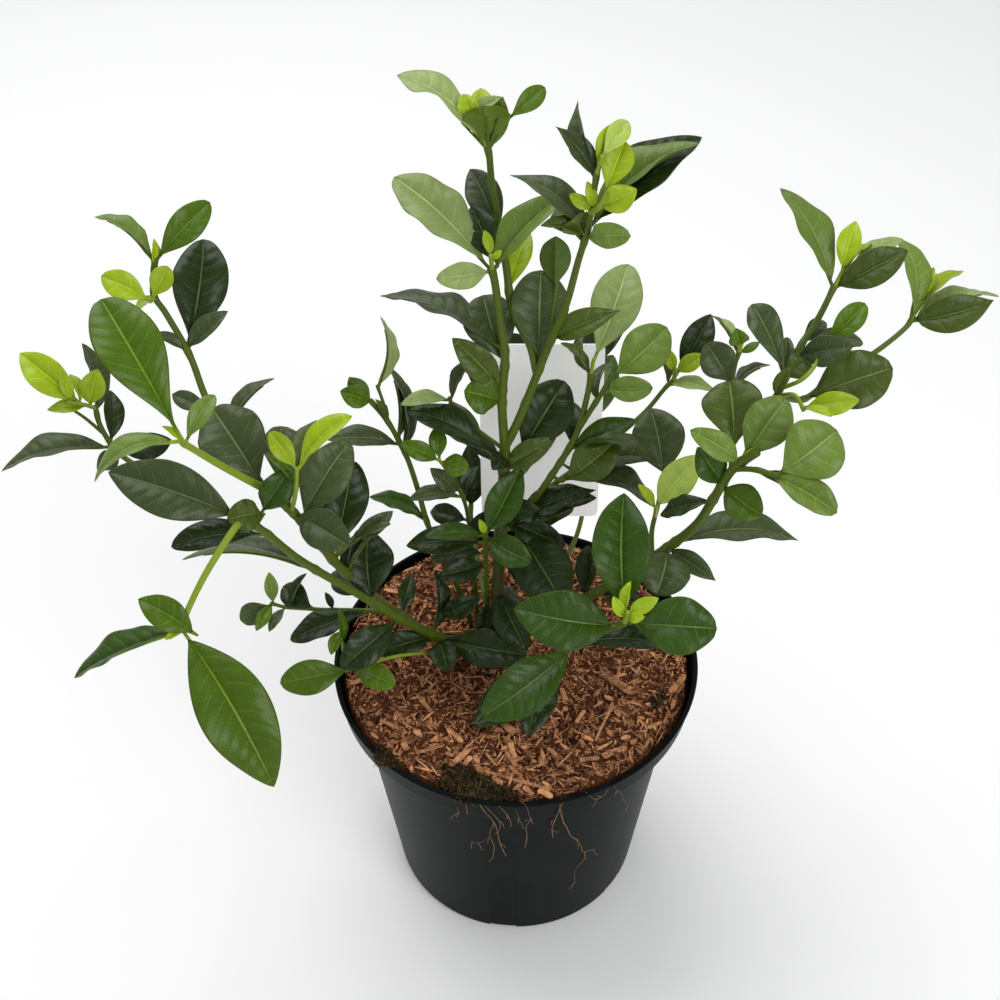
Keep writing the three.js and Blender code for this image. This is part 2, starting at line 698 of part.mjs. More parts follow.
    leaves: [
      leaf([350, 670], [281, 683], 21, { near: 6 }),
    ],
  },
  {
    name: "left_lime_shoot", on: "left_arm", colour: "lime",
    stems: [
      stem([[302, 515, -26], [296, 490, -34], [297, 468, -36]], 1.4),
    ],
    leaves: [
      leaf([297, 468], [351, 417], 10, { near: 8 }),
      leaf([296, 470], [270, 433], 10, { near: 6 }),
      leaf([296, 488], [264, 455], 5, { near: 4 }),
    ],
  },
  {
    name: "left_high_tip", on: "left_high_stem", colour: "lime",
    stems: [
      stem([[156, 299, 43], [150, 302, 38]], 1.1),
    ],
    leaves: [
      leaf([150, 302], [101, 277], 15, { near: 8 }),
      leaf([152, 301], [170, 267], 11, { near: 6 }),
    ],
  },
  {
    name: "left_far_tip", on: "left_far_stem", colour: "lime",
    stems: [
      stem([[93, 400, 30], [82, 404, 24], [67, 402, 20]], 1.1),
    ],
    leaves: [
      leaf([67, 402], [20, 355], 16, { near: 4 }),
      leaf([70, 402], [63, 372], 8, { near: 2 }),
      leaf([82, 404], [69, 374], 6, { near: -4 }),
      leaf([92, 401], [95, 370], 12, { near: 6 }),
      leaf([88, 403], [47, 410], 8, { near: 10 }),
    ],
  },
  {
    name: "left_bright_tip", on: "left_bright_stem", colour: "lime",
    stems: [
      stem([[182, 446, -76], [178, 441, -80]], 1.1),
    ],
    leaves: [
      leaf([179, 442], [94, 483], 10, { near: 6, arch: 0.2 }),
    ],
  },
  {
    name: "mid_left_tip", on: "mid_low_stem", colour: "lime",
    stems: [
      stem([[444, 466, 30], [439, 460, 27]], 1.1),
    ],
    leaves: [
      leaf([439, 460], [400, 443], 11, { near: 6 }),
      leaf([440, 460], [437, 427], 10, { near: 2 }),
      leaf([441, 462], [468, 468], 13, { near: 8 }),
    ],
  },
  {
    name: "top_left_bud", on: "main_stem", colour: "lime",
    stems: [
      stem([[493, 262, 40], [491, 255, 40]], 1.4),
    ],
    leaves: [
      leaf([492, 258], [484, 230], 6, { near: 2 }),
    ],
  },
  {
    name: "top_stem_tip", on: "top_stem", colour: "lime",
    stems: [
      stem([[485, 141, 89], [480, 128, 92]], 1.4),
    ],
    leaves: [
      leaf([480, 130], [461, 94], 9, { near: 2 }),
      leaf([481, 130], [478, 88], 8, { near: -6 }),
    ],
  },
  {
    name: "top_right_tip", on: "top_right_stem", colour: "lime",
    stems: [
      stem([[594, 219, -2], [600, 206, -6], [606, 196, -8]], 1.4),
    ],
    leaves: [
      leaf([606, 196], [626, 142], 14, { near: 4 }),
      leaf([602, 204], [634, 189], 11, { near: 8 }),
    ],
  },
  {
    name: "top_right_bud", on: "top_right_stem", colour: "lime",
    stems: [
      stem([[599, 166, -2], [602, 156, -3]], 1.2),
    ],
    leaves: [
      leaf([600, 162], [618, 124], 9, { near: 4 }),
      leaf([601, 160], [628, 121], 8, { near: -6 }),
    ],
  },
  {
    name: "right_pale_leaf", on: "centre_right_stem", colour: "pale",
    stems: [
      stem([[592, 366, 43], [594, 358, 43]], 1.2),
    ],
    leaves: [
      leaf([593, 364], [631, 265], 26, { near: -4 }),
    ],
  },
  {
    name: "front_tip", on: "front_shoot", colour: "lime",
    stems: [
      stem([[628, 618, -68], [628, 612, -70]], 1.6),
    ],
    leaves: [
      leaf([628, 617], [631, 581], 6, { near: 2 }),
      leaf([627, 618], [613, 596], 7, { near: 8 }),
      leaf([629, 617], [659, 598], 9, { near: 6 }),
      leaf([629, 618], [645, 617], 7, { near: 8 }),
    ],
  },
  {
    name: "right_twig_tip", on: "right_twig", colour: "pale",
    stems: [
      stem([[654, 512, -4], [656, 507, -7]], 1.4),
    ],
    leaves: [
      leaf([656, 507], [700, 456], 17, { near: 10 }),
      leaf([655, 508], [638, 484], 6, { near: 4 }),
    ],
  },
  {
    name: "right_inner_tip", on: "right_inner_stem", colour: "lime",
    stems: [
      stem([[675, 374, 90], [676, 369, 88]], 1.4),
    ],
    leaves: [
      leaf([676, 372], [706, 355], 11, { near: 8 }),
      leaf([675, 373], [666, 347], 8, { near: 6 }),
    ],
  },
  {
    name: "right_mid_tip", on: "right_mid_stem", colour: "lime",
    stems: [
      stem([[741, 347, 4], [742, 342, 4]], 1.2),
    ],
    leaves: [
      leaf([741, 346], [736, 328], 11, { near: 14 }),
    ],
  },
  {
    name: "right_high_tip", on: "right_high_stem", colour: "lime",
    stems: [
      stem([[838, 280, 34], [844, 269, 35]], 1.3),
    ],
    leaves: [
      leaf([843, 271], [856, 221], 13, { near: 2 }),
    ],
  },
  {
    name: "right_high_roll", on: "right_high_stem", colour: "bright",
    stems: [
      stem([[793, 384, -12], [804, 378, -10], [817, 362, -4], [825, 338, 4]], 1.3),
    ],
    leaves: [
      leaf([824, 340], [866, 304], 13, { near: 4, fold: 26 }),
    ],
  },
  {
    name: "right_far_tip", on: "right_far_stem", colour: "lime",
    stems: [
      stem([[914, 313, 62], [922, 302, 67]], 1.1),
    ],
    leaves: [
      leaf([921, 303], [934, 267], 9, { near: -4 }),
      leaf([922, 302], [964, 271], 9, { near: -12 }),
    ],
  },
  {
    name: "right_far_lime", on: "right_far_stem", colour: "lime",
    stems: [
      stem([[786, 388, -10], [796, 396, -16], [804, 411, -20]], 1.3),
    ],
    leaves: [
      leaf([803, 409], [860, 400], 11, { near: 8 }),
    ],
  },
  {
    name: "rim_left_tip", on: "rim_left_stem", colour: "lime",
    stems: [
      stem([[346, 667, -30], [344, 655, -28], [343, 642, -26]], 1.1),
    ],
    leaves: [
      leaf([343, 643], [338, 609], 5, { near: 2 }),
      leaf([343, 645], [331, 655], 7, { near: 6 }),
      leaf([346, 666], [396, 686], 15, { near: 14 }),
    ],
  },
];

// The two shoots of the hidden side, given in millimetres
const BACK_SHOOTS = [
  {
    name: "back_right_stem", on: "main_stem", colour: "mid", leafLength: 56, seed: 11,
    points: [[-6, 18, 190], [32, 68, 204], [44, 98, 213], [46, 116, 244], [38, 124, 286], [32, 128, 314]],
  },
  {
    name: "back_left_stem", on: "main_stem", colour: "olive", leafLength: 50, seed: 23,
    points: [[-14, 18, 194], [-26, 68, 208], [-30, 100, 226], [-18, 118, 262], [-6, 124, 290]],
  },
];

// The pot: a tapered thin wall with a stepped collar and a rolled lip, turned about its axis
function potSolid() {
  const collarFoot = POT_HEIGHT - COLLAR_HEIGHT;
  const profile = [
    [0, 0], [BASE_RADIUS - 2, 0], [BASE_RADIUS, 3], [NECK_RADIUS, collarFoot],
    [COLLAR_RADIUS - 2, collarFoot], [COLLAR_RADIUS, collarFoot + POT_LEDGE],
    [RIM_RADIUS - LIP_ROUND, POT_HEIGHT - LIP_DEPTH], [RIM_RADIUS, POT_HEIGHT - LIP_ROUND],
    [RIM_RADIUS - LIP_ROUND / 2, POT_HEIGHT], [RIM_RADIUS - LIP_DEPTH, POT_HEIGHT],
    [COLLAR_RADIUS - WALL - 0.6, collarFoot + POT_LEDGE + WALL],
    [NECK_RADIUS - WALL, collarFoot + POT_LEDGE], [BASE_RADIUS - WALL, FLOOR], [0, FLOOR],
  ].map(([radius, height]) => new THREE.Vector2(radius, height));
  const turned = new THREE.LatheGeometry(profile, POT_SIDES).rotateX(Math.PI / 2);
  let body = toSolid(turned);
  for (let hole = 0; hole < DRAIN_COUNT; hole += 1) {
    const notch = new THREE.BoxGeometry(DRAIN_LENGTH, DRAIN_WIDTH, DRAIN_HEIGHT * 2);
    notch.translate(BASE_RADIUS, 0, 0).rotateZ((hole + 0.5) / DRAIN_COUNT * 2 * Math.PI + DRAIN_TURN);
    body = body.subtract(toSolid(notch));
  }
  return body;
}

// The height of the mulch over its flat level, heaped in the middle, higher along the wall and uneven
function mulchRelief(x, y) {
  const radius = Math.hypot(x, y) / RIM_RADIUS;
  const lumps = Math.sin(x * 0.11 + 1) * Math.cos(y * 0.13) + 0.8 * Math.sin(x * 0.29 - y * 0.21);
  const brim = SOIL_BRIM * THREE.MathUtils.smoothstep(radius, 0.45, 0.85);
  return SOIL_HEAP * (1 - radius * radius) + SOIL_LUMPS * lumps + brim;
}

// The potting mix under its mulch: it fills the pot, with chips of wood standing out of the top
function soilSolid() {
  const ledge = POT_HEIGHT - COLLAR_HEIGHT + POT_LEDGE + GAP;
  const inner = COLLAR_RADIUS - WALL - 0.6 - GAP;
  const foot = BASE_RADIUS - WALL - GAP;
  const profile = [
    [0, FLOOR + GAP], [foot, FLOOR + GAP], [NECK_RADIUS - WALL - GAP, ledge], [inner, ledge + WALL],
    [inner, SOIL_TOP - 0.5],
    ...SOIL_RINGS.map((share) => [share * inner, SOIL_TOP]),
  ].map(([radius, height]) => new THREE.Vector2(radius, height));
  const turned = new THREE.LatheGeometry(profile, POT_SIDES).rotateX(Math.PI / 2);
  const position = turned.attributes.position;
  for (let item = 0; item < position.count; item += 1) {
    const radius = Math.hypot(position.getX(item), position.getY(item));
    if (position.getZ(item) > SOIL_TOP - 0.1 && radius < inner - 1) {
      position.setZ(item, SOIL_TOP + mulchRelief(position.getX(item), position.getY(item)));
    }
  }
  const random = seededRandom(CHIP_SEED);
  const solids = [toSolid(turned)];
  for (let chip = 0; chip < CHIP_COUNT; chip += 1) {
    const radius = (inner - 13) * Math.sqrt(random());
    const angle = 2 * Math.PI * random();
    const [x, y] = [radius * Math.cos(angle), radius * Math.sin(angle)];
    const shape = new THREE.BoxGeometry(16 + 12 * random(), 4 + 3 * random(), 3 + 1.5 * random());
    shape.rotateY(0.3 * (random() - 0.5)).rotateX(0.5 * (random() - 0.5)).rotateZ(Math.PI * random());
    shape.translate(x, y, SOIL_TOP + mulchRelief(x, y) + 0.4);
    solids.push(toSolid(shape));
  }
  return wasm.Manifold.union(solids);
}

// A plain round hole in the mulch for a stem that stands in it
function stemHole(item) {
  const foot = item.points[0];
  const height = ROOT_DEPTH + 12;
  const hole = new THREE.CylinderGeometry(item.radius + item.play, item.radius + 0.8, height, 6);
  hole.rotateX(Math.PI / 2).translate(foot.x, foot.y, foot.z + height / 2 - 2 * GAP);
  return toSolid(hole);
}

// The bare card and its pointed stake, leaning back a little
function labelSolid(grow) {
  const half = LABEL.width / 2;
  const round = LABEL.corner;
  const top = LABEL.foot + LABEL.height;
  const card = new THREE.Shape();
  card.moveTo(-half + round, LABEL.foot);
  card.lineTo(half - round, LABEL.foot);
  card.absarc(half - round, LABEL.foot + round, round, -Math.PI / 2, 0);
  card.absarc(half - round, top - round, round, 0, Math.PI / 2);
  card.absarc(-half + round, top - round, round, Math.PI / 2, Math.PI);
  card.absarc(-half + round, LABEL.foot + round, round, Math.PI, 1.5 * Math.PI);
  const stake = new THREE.Shape();
  stake.moveTo(-STAKE.width / 2, STAKE.top);
  stake.lineTo(-STAKE.width / 2, STAKE.bottom + STAKE.point);
  stake.lineTo(0, STAKE.bottom);
  stake.lineTo(STAKE.width / 2, STAKE.bottom + STAKE.point);
  stake.lineTo(STAKE.width / 2, STAKE.top);
  const depth = LABEL.thickness + 2 * grow;
  const pieces = [card, stake].map((outline) => {
    const plate = new THREE.ExtrudeGeometry(outline, { depth, bevelEnabled: false, curveSegments: 2 });
    return toSolid(plate.translate(0, 0, -depth / 2).rotateX(Math.PI / 2));
  });
  const lean = Math.asin(LABEL.lean / LABEL.height);
  const whole = pieces[0].add(pieces[1]).rotate([-THREE.MathUtils.radToDeg(lean), 0, 0]);
  const foot = LABEL.foot * Math.sin(lean);
  return whole.translate([LABEL.centre, LABEL.back - foot, 0]);
}

// The shoots with their leaves settled, in the order in which they give way to each other
function settledShoots() {
  const settled = new Map();
  for (const shoot of SHRUB) {
    const stems = seatStems(shoot.stems, settled.get(shoot.on)?.stems);
    settled.set(shoot.name, { ...shoot, stems, leaves: shoot.leaves.map((item) => settleLeaf(item, stems)) });
  }
  for (const shoot of BACK_SHOOTS) {
    const points = shoot.points.map(([x, y, z]) => new THREE.Vector3(x, y, z));
    const stems = seatStems([{ points, radius: 2, taper: 0.6, rooted: false }], settled.get(shoot.on).stems);
    settled.set(shoot.name, { ...shoot, stems, leaves: pairedLeaves(points, shoot.leafLength, shoot.seed) });
  }
  return [...settled.values()];
}

// A named mesh in its own colour
function addMesh(group, name, geometry, colour, roughness) {
  const material = new THREE.MeshStandardMaterial({ color: COLOURS[colour], roughness, metalness: 0 });
  const mesh = new THREE.Mesh(geometry, material);
  mesh.name = name;
  group.add(mesh);
}

// True where the boxes round two solids meet
function boxesMeet(first, second) {
  const [a, b] = [first.boundingBox(), second.boundingBox()];
  return [0, 1, 2].every((axis) => a.min[axis] < b.max[axis] && b.min[axis] < a.max[axis]);
}

const shoots = settledShoots();
const pottedGardenia = new THREE.Group();
const label = labelSolid(0);
const pot = potSolid();
let soil = soilSolid().subtract(labelSolid(GAP));
for (const item of shoots.flatMap((shoot) => shoot.stems).filter((entry) => entry.rooted)) {
  soil = soil.subtract(stemHole(item));
}
addMesh(pottedGardenia, "pot", toGeometry(pot), "pot", 0.45);
addMesh(pottedGardenia, "mulch", toGeometry(soil), "mulch", 0.9);
addMesh(pottedGardenia, "label", toGeometry(label), "label", 0.5);

const taken = [labelSolid(GAP)];
for (const shoot of shoots) {
  let solid = shootSolid(shoot, 0);
  for (const other of taken.filter((entry) => boxesMeet(entry, solid))) {
    solid = solid.subtract(other);
  }
  addMesh(pottedGardenia, shoot.name, toGeometry(solid), shoot.colour, 0.4);
  taken.push(shootSolid(shoot, GAP));
}

export default pottedGardenia;
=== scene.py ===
"""Dresses a potted gardenia without flowers: leaves, stems, a black nursery pot and its wood-chip mulch."""

import logging
import math
import random
from collections.abc import Callable, Iterable, Sequence
from dataclasses import dataclass, field
from enum import Enum
from functools import cache
from typing import Any

import bpy
import numpy as np
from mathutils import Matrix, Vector


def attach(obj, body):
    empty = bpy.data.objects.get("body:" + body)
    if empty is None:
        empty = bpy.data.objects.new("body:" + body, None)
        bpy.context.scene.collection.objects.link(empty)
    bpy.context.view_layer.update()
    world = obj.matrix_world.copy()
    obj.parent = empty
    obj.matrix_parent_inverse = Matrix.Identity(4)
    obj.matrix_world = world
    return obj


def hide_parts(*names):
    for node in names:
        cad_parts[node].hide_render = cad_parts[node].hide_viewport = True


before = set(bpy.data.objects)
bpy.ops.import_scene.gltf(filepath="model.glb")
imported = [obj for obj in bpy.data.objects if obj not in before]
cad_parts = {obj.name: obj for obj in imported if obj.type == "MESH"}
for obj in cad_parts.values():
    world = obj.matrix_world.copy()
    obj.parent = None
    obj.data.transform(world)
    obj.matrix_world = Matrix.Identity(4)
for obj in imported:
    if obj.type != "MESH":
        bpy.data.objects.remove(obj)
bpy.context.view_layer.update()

LOG = logging.getLogger("potted_gardenia")
BODY = "root"
MM = 0.001
UP = np.array([0.0, 0.0, 1.0])
Array = np.ndarray
Colour = tuple[int, int, int]
Pair = tuple[float, float]
Triple = tuple[float, float, float]
Faces = list[tuple[int, ...]]
Thing = bpy.types.Object
Mesh = bpy.types.Mesh
Material = bpy.types.Material
Tree = bpy.types.NodeTree
Node = bpy.types.Node
Socket = bpy.types.NodeSocket


class Tone(Enum):
    """The colour of a leaf's upper side, in display values from 0 to 255; the grey and silver tones are
    painted sheen, a painted reflection on the glossy leaf.
    """

    DARK = (28, 44, 8)
    # painted sheen: a dull grey-green that stands in for the reflection of the bright surroundings on the
    # glossy leaf
    GREY = (62, 76, 40)
    OLIVE = (66, 82, 22)
    MID = (44, 72, 6)
    BRIGHT = (70, 98, 2)
    FRESH = (100, 124, 48)
    # painted sheen: a pale grey-green that stands in for a bright reflection on the glossy leaf
    SILVER = (134, 152, 88)
    LIME = (146, 170, 20)
    PALE = (166, 188, 84)


class Slot(Enum):
    """The record's material slots."""

    POT = "pot"
    MULCH = "mulch"
    LABEL = "label"
    DARK = "leaf_dark"
    # shoots whose leaves are mostly in the grey tone of painted sheen
    GREY = "leaf_grey"
    OLIVE = "leaf_olive"
    MID = "leaf_mid"
    BRIGHT = "leaf_bright"
    LIME = "leaf_lime"
    PALE = "leaf_pale"


class Outline(Enum):
    """The form of a blade: how far out it is widest, and how slim it is at its base and at its tip."""

    ELLIPSE = (1.0, 0.95, 0.82)
    BLUNT = (1.2, 1.08, 0.6)
    POINTED = (0.88, 0.9, 1.1)
    SPOON = (1.5, 1.15, 0.55)
    TAPERED = (0.78, 0.9, 1.3)


DARK, GREY, OLIVE, MID, BRIGHT, FRESH, SILVER, LIME, PALE = Tone
ELLIPSE, BLUNT, POINTED, SPOON, TAPERED = Outline


@dataclass(frozen=True)
class Leaf:
    """A leaf between the picture points of its base and tip.

    Args:
        u: column of the base.
        v: row of the base.
        tip_u: column of the tip.
        tip_v: row of the tip.
        seen: width that is seen, in millimetres.
        tone: colour of the upper side.
        near: how much nearer to the eye the tip lies than the base, in millimetres.
        outline: form of the blade.
        arch: rise of the middle as a share of the length.
        fold: angle by which each half is raised about the rib, in degrees.
        wave: swing of the margins as a share of the half width.
        under: True where the lower side is seen.
    """

    u: float
    v: float
    tip_u: float
    tip_v: float
    seen: float
    tone: Tone
    near: float = 0.0
    outline: Outline = ELLIPSE
    arch: float = 0.1
    fold: float = 14.0
    wave: float = 0.0
    under: bool = False


@dataclass(frozen=True)
class Stem:
    """A stem through picture points, each with its depth behind the pot's axis in millimetres.

    The radius at the foot is in millimetres too, and the taper is the share of it that is left at the end.
    """

    points: tuple[Triple, ...]
    radius: float
    rooted: bool = False
    taper: float = 0.75


@dataclass(frozen=True)
class Shoot:
    """A leafy stem or young tip, and the shoot that carries it."""

    name: str
    carrier: str | None
    slot: Slot
    stems: tuple[Stem, ...]
    leaves: tuple[Leaf, ...]


@dataclass(frozen=True)
class BackShoot:
    """A shoot on the side that the survey didn't see, through points in millimetres, with paired leaves."""

    name: str
    carrier: str
    slot: Slot
    tones: tuple[Tone, Tone]
    points: tuple[Triple, ...]
    leaf_length: float
    seed: int
    radius: float = 2.0
    taper: float = 0.6
    slimness: float = 0.42


SHOOTS = (
    Shoot("main_stem", None, Slot.DARK, (
        Stem(((493, 660, 6), (497, 600, 14), (500, 540, 22), (503, 490, 30), (505, 447, 35)), 4.2,
             rooted=True),
        Stem(((505, 447, 35), (502, 400, 37), (505, 355, 40), (500, 320, 42), (494, 278, 45),
              (491, 268, 45)), 2.8),
        Stem(((503, 450, 36), (478, 430, 45), (455, 410, 48), (449, 397, 50)), 1.3),
    ), (
        Leaf(488, 266, 394, 177, 26, SILVER, -6, BLUNT),
        Leaf(490, 268, 436, 279, 15, SILVER, 14, BLUNT, wave=0.22), Leaf(498, 266, 471, 206, 18, DARK, -4),
        Leaf(498, 268, 572, 190, 19, FRESH, 6, TAPERED, fold=28), Leaf(500, 352, 379, 296, 14, GREY, -18),
        Leaf(502, 366, 483, 295, 31, GREY, -8, BLUNT), Leaf(504, 390, 452, 338, 18, OLIVE, 18),
        Leaf(506, 402, 464, 391, 22, BRIGHT, 14, BLUNT, fold=10),
        Leaf(494, 457, 408, 411, 18, DARK, 12, BLUNT, arch=0.14), Leaf(503, 470, 442, 432, 12, DARK, -10),
        Leaf(449, 397, 478, 357, 8, GREY, 4, fold=26), Leaf(449, 397, 400, 405, 9, SILVER, 8, arch=0.16),
        Leaf(518, 456, 565, 381, 32, DARK, 4, BLUNT), Leaf(503, 470, 556, 438, 15, OLIVE, 14, arch=0.18),
        Leaf(500, 535, 597, 498, 17, DARK, 14), Leaf(517, 530, 563, 604, 36, DARK, 14, BLUNT),
        Leaf(497, 615, 516, 590, 20, DARK, -16), Leaf(506, 455, 492, 470, 13, DARK, 16),
        Leaf(503, 590, 527, 651, 23, DARK, 10), Leaf(508, 545, 574, 508, 15, MID, 4, BLUNT),
        Leaf(504, 500, 548, 520, 13, DARK, 6), Leaf(502, 520, 566, 546, 17, DARK, -4),
        Leaf(502, 505, 468, 540, 13, DARK, -8), Leaf(500, 560, 548, 600, 14, DARK, -6),
        Leaf(502, 520, 533, 464, 9, DARK, -12, fold=24),
    )),
    Shoot("left_arm", "main_stem", Slot.DARK, (
        Stem(((494, 640, 9), (440, 638, 0), (400, 615, -4), (365, 590, -8), (335, 562, -12),
              (305, 525, -18), (280, 500, -22), (262, 487, -25)), 3.2),
        Stem(((442, 642, -4), (398, 618, -12), (360, 595, -20), (300, 560, -32), (262, 530, -40),
              (240, 517, -44)), 2.8),
    ), (
        Leaf(261, 488, 212, 408, 37, GREY, -4, BLUNT), Leaf(240, 517, 108, 472, 31, GREY, 4),
        Leaf(262, 512, 289, 470, 17, MID, 10, BLUNT, arch=0.2),
        Leaf(264, 514, 227, 519, 18, OLIVE, 14, BLUNT, arch=0.16),
        Leaf(268, 534, 171, 547, 16, DARK, 12, BLUNT), Leaf(316, 570, 182, 560, 9, GREY, -8, fold=24),
        Leaf(302, 520, 350, 441, 27, GREY, 8, BLUNT), Leaf(333, 558, 351, 460, 27, DARK, -14, BLUNT),
        Leaf(290, 505, 317, 420, 19, OLIVE, -16), Leaf(284, 502, 280, 426, 23, GREY, -22, SPOON),
        Leaf(288, 517, 350, 547, 23, GREY, 18, BLUNT), Leaf(373, 600, 368, 528, 33, DARK, -10),
        Leaf(372, 596, 330, 575, 18, DARK, -18), Leaf(352, 540, 393, 511, 12, GREY, 2, fold=26),
        Leaf(350, 545, 391, 524, 7, GREY, 10, BLUNT), Leaf(318, 545, 322, 500, 16, DARK, -14),
        Leaf(345, 572, 391, 518, 8, DARK, 6, fold=28), Leaf(398, 620, 341, 669, 22, DARK, 14, BLUNT),
        Leaf(436, 639, 375, 654, 17, DARK, 8), Leaf(440, 640, 447, 672, 18, DARK, 22, BLUNT),
        Leaf(440, 634, 527, 655, 25, DARK, 16, BLUNT), Leaf(434, 634, 434, 570, 9, DARK, 4, fold=26),
        Leaf(402, 614, 412, 575, 11, DARK, -12),
    )),
    Shoot("right_arm", "main_stem", Slot.MID, (
        Stem(((500, 640, 8), (560, 610, -2), (610, 585, -12), (640, 565, -18), (667, 548, -24),
              (697, 524, -32), (717, 493, -38), (734, 468, -44), (757, 452, -50)), 3.2),
        Stem(((734, 468, -44), (757, 470, -58), (779, 476, -68)), 1.6),
    ), (
        Leaf(733, 458, 729, 380, 32, OLIVE, -8, SPOON), Leaf(741, 460, 787, 398, 25, FRESH, 6, BLUNT),
        Leaf(776, 477, 837, 430, 33, FRESH, 4, BLUNT),
        Leaf(737, 462, 690, 430, 14, FRESH, 16, BLUNT, arch=0.18), Leaf(722, 484, 697, 447, 17, MID, 10),
        Leaf(720, 484, 762, 516, 20, BRIGHT, 16, BLUNT),
        Leaf(760, 472, 837, 513, 17, FRESH, 14, SPOON, fold=24),
        Leaf(757, 470, 807, 505, 9, DARK, -10, fold=24), Leaf(667, 549, 656, 596, 31, GREY, 16, BLUNT),
        Leaf(668, 549, 716, 581, 13, GREY, 6, POINTED, fold=26),
        Leaf(676, 545, 799, 541, 18, GREY, -4, POINTED, arch=0.14), Leaf(712, 500, 660, 515, 11, DARK, -20),
        Leaf(600, 590, 640, 600, 14, DARK, 6), Leaf(585, 597, 588, 545, 14, DARK, -8, fold=22),
        Leaf(640, 566, 610, 606, 15, DARK, 8), Leaf(740, 461, 757, 447, 5, LIME, 6),
    )),
    Shoot("top_right_stem", "main_stem", Slot.MID, (
        Stem(((505, 447, 35), (514, 430, 35), (527, 400, 36), (538, 372, 35), (552, 338, 28),
              (566, 305, 20), (578, 262, 12), (588, 228, 5), (597, 172, 0)), 2.8, taper=0.5),
        Stem(((548, 348, 30), (553, 310, 44), (557, 284, 52)), 1.3),
    ), (
        Leaf(584, 232, 509, 175, 13, GREY, -6, TAPERED, arch=0.14),
        # painted light and shade: these two leaves stand for one leaf, its shaded half in the dark tone and
        # its lit half in the fresh tone
        Leaf(588, 229, 702, 137, 24, DARK, 2, fold=22, wave=0.06),
        Leaf(590, 228, 700, 143, 14, FRESH, 16, fold=28, wave=0.06),
        Leaf(584, 236, 631, 236, 13, FRESH, 18, SPOON, arch=0.2, wave=0.3),
        Leaf(592, 240, 572, 220, 16, OLIVE, 12, BLUNT, under=True),
        Leaf(597, 174, 578, 100, 10, GREY, -4, TAPERED, fold=26),
        Leaf(596, 178, 555, 126, 11, GREY, 6, TAPERED, fold=24), Leaf(584, 240, 556, 207, 18, GREY, -18),
        Leaf(557, 284, 556, 236, 19, MID, 10, under=True, fold=24),
        Leaf(535, 368, 541, 270, 33, GREY, 12, SPOON),
        Leaf(553, 342, 622, 310, 16, OLIVE, 10, TAPERED, fold=22),
        Leaf(581, 243, 540, 226, 7, OLIVE, 8, arch=0.24, fold=26),
    )),
    Shoot("top_stem", "top_right_stem", Slot.OLIVE, (
        Stem(((538, 372, 38), (530, 345, 40), (513, 312, 48), (506, 266, 58), (500, 235, 66),
              (497, 212, 72), (492, 186, 78), (489, 154, 84), (487, 147, 86)), 2.4),
    ), (
        Leaf(489, 151, 485, 106, 26, BRIGHT, 14, SPOON, under=True, fold=8),
        Leaf(492, 148, 503, 96, 13, BRIGHT, 14, POINTED, under=True),
        Leaf(462, 123, 502, 97, 9, SILVER, 4, fold=20),
        Leaf(487, 148, 397, 75, 15, SILVER, -4, BLUNT, wave=0.24),
        Leaf(507, 120, 545, 87, 12, BRIGHT, -6, BLUNT), Leaf(501, 238, 470, 169, 20, GREY, -12),
        Leaf(512, 290, 530, 232, 15, LIME, -10),
    )),
    Shoot("centre_right_stem", "main_stem", Slot.OLIVE, (
        Stem(((502, 530, 24), (520, 520, 25), (538, 495, 28), (568, 450, 36), (578, 430, 38),
              (588, 392, 42), (591, 372, 45)), 2.2),
        Stem(((578, 430, 38), (592, 408, 37), (607, 385, 36), (612, 375, 36)), 1.8),
    ), (
        Leaf(562, 482, 617, 440, 25, OLIVE, 12, BLUNT), Leaf(570, 446, 573, 402, 13, DARK, -14),
        Leaf(572, 452, 635, 419, 16, MID, 4), Leaf(572, 470, 660, 459, 14, GREY, -8),
        Leaf(570, 448, 648, 452, 8, OLIVE, 22), Leaf(560, 480, 655, 508, 15, GREY, -2, arch=0.2),
        Leaf(591, 372, 560, 343, 6, OLIVE, 10, fold=26), Leaf(611, 377, 667, 327, 27, FRESH, 4, BLUNT),
        Leaf(600, 384, 653, 388, 16, FRESH, 14, BLUNT, arch=0.16, fold=24),
        Leaf(514, 528, 597, 490, 17, DARK, 20, POINTED), Leaf(591, 374, 584, 333, 6, OLIVE, -8, fold=26),
        Leaf(596, 402, 610, 362, 7, OLIVE, -14, fold=26),
    )),
    Shoot("front_shoot", None, Slot.MID, (
        Stem(((522, 695, -24), (545, 668, -30), (570, 647, -38), (595, 634, -50), (617, 626, -60),
              (626, 622, -64)), 2.4, rooted=True),
    ), (
        Leaf(625, 614, 624, 493, 35, MID, -6, fold=24), Leaf(618, 626, 513, 608, 34, MID, 10),
        Leaf(629, 623, 717, 629, 33, MID, 8, BLUNT), Leaf(573, 643, 677, 649, 16, DARK, 14),
        Leaf(577, 640, 482, 717, 30, MID, 16, BLUNT), Leaf(549, 668, 528, 737, 26, DARK, 30),
        Leaf(524, 684, 475, 727, 25, DARK, 30),
    )),
    Shoot("centre_small_stem", None, Slot.MID, (
        Stem(((487, 640, 22), (487, 600, 17), (486, 560, 14), (485, 533, 12)), 1.8, rooted=True),
    ), (
        Leaf(486, 534, 521, 467, 22, MID, 10, fold=20), Leaf(485, 534, 424, 537, 11, MID, 12),
        Leaf(484, 534, 532, 562, 19, MID, 16, BLUNT), Leaf(486, 541, 406, 546, 18, DARK, 4),
        Leaf(487, 594, 443, 613, 15, DARK, 18, arch=-0.3), Leaf(487, 602, 484, 642, 15, DARK, 4),
        Leaf(486, 564, 438, 576, 15, DARK, 14), Leaf(486, 552, 430, 560, 13, DARK, -10),
        Leaf(485, 534, 479, 519, 5, LIME, 6),
    )),
    Shoot("mid_left_stem", None, Slot.OLIVE, (
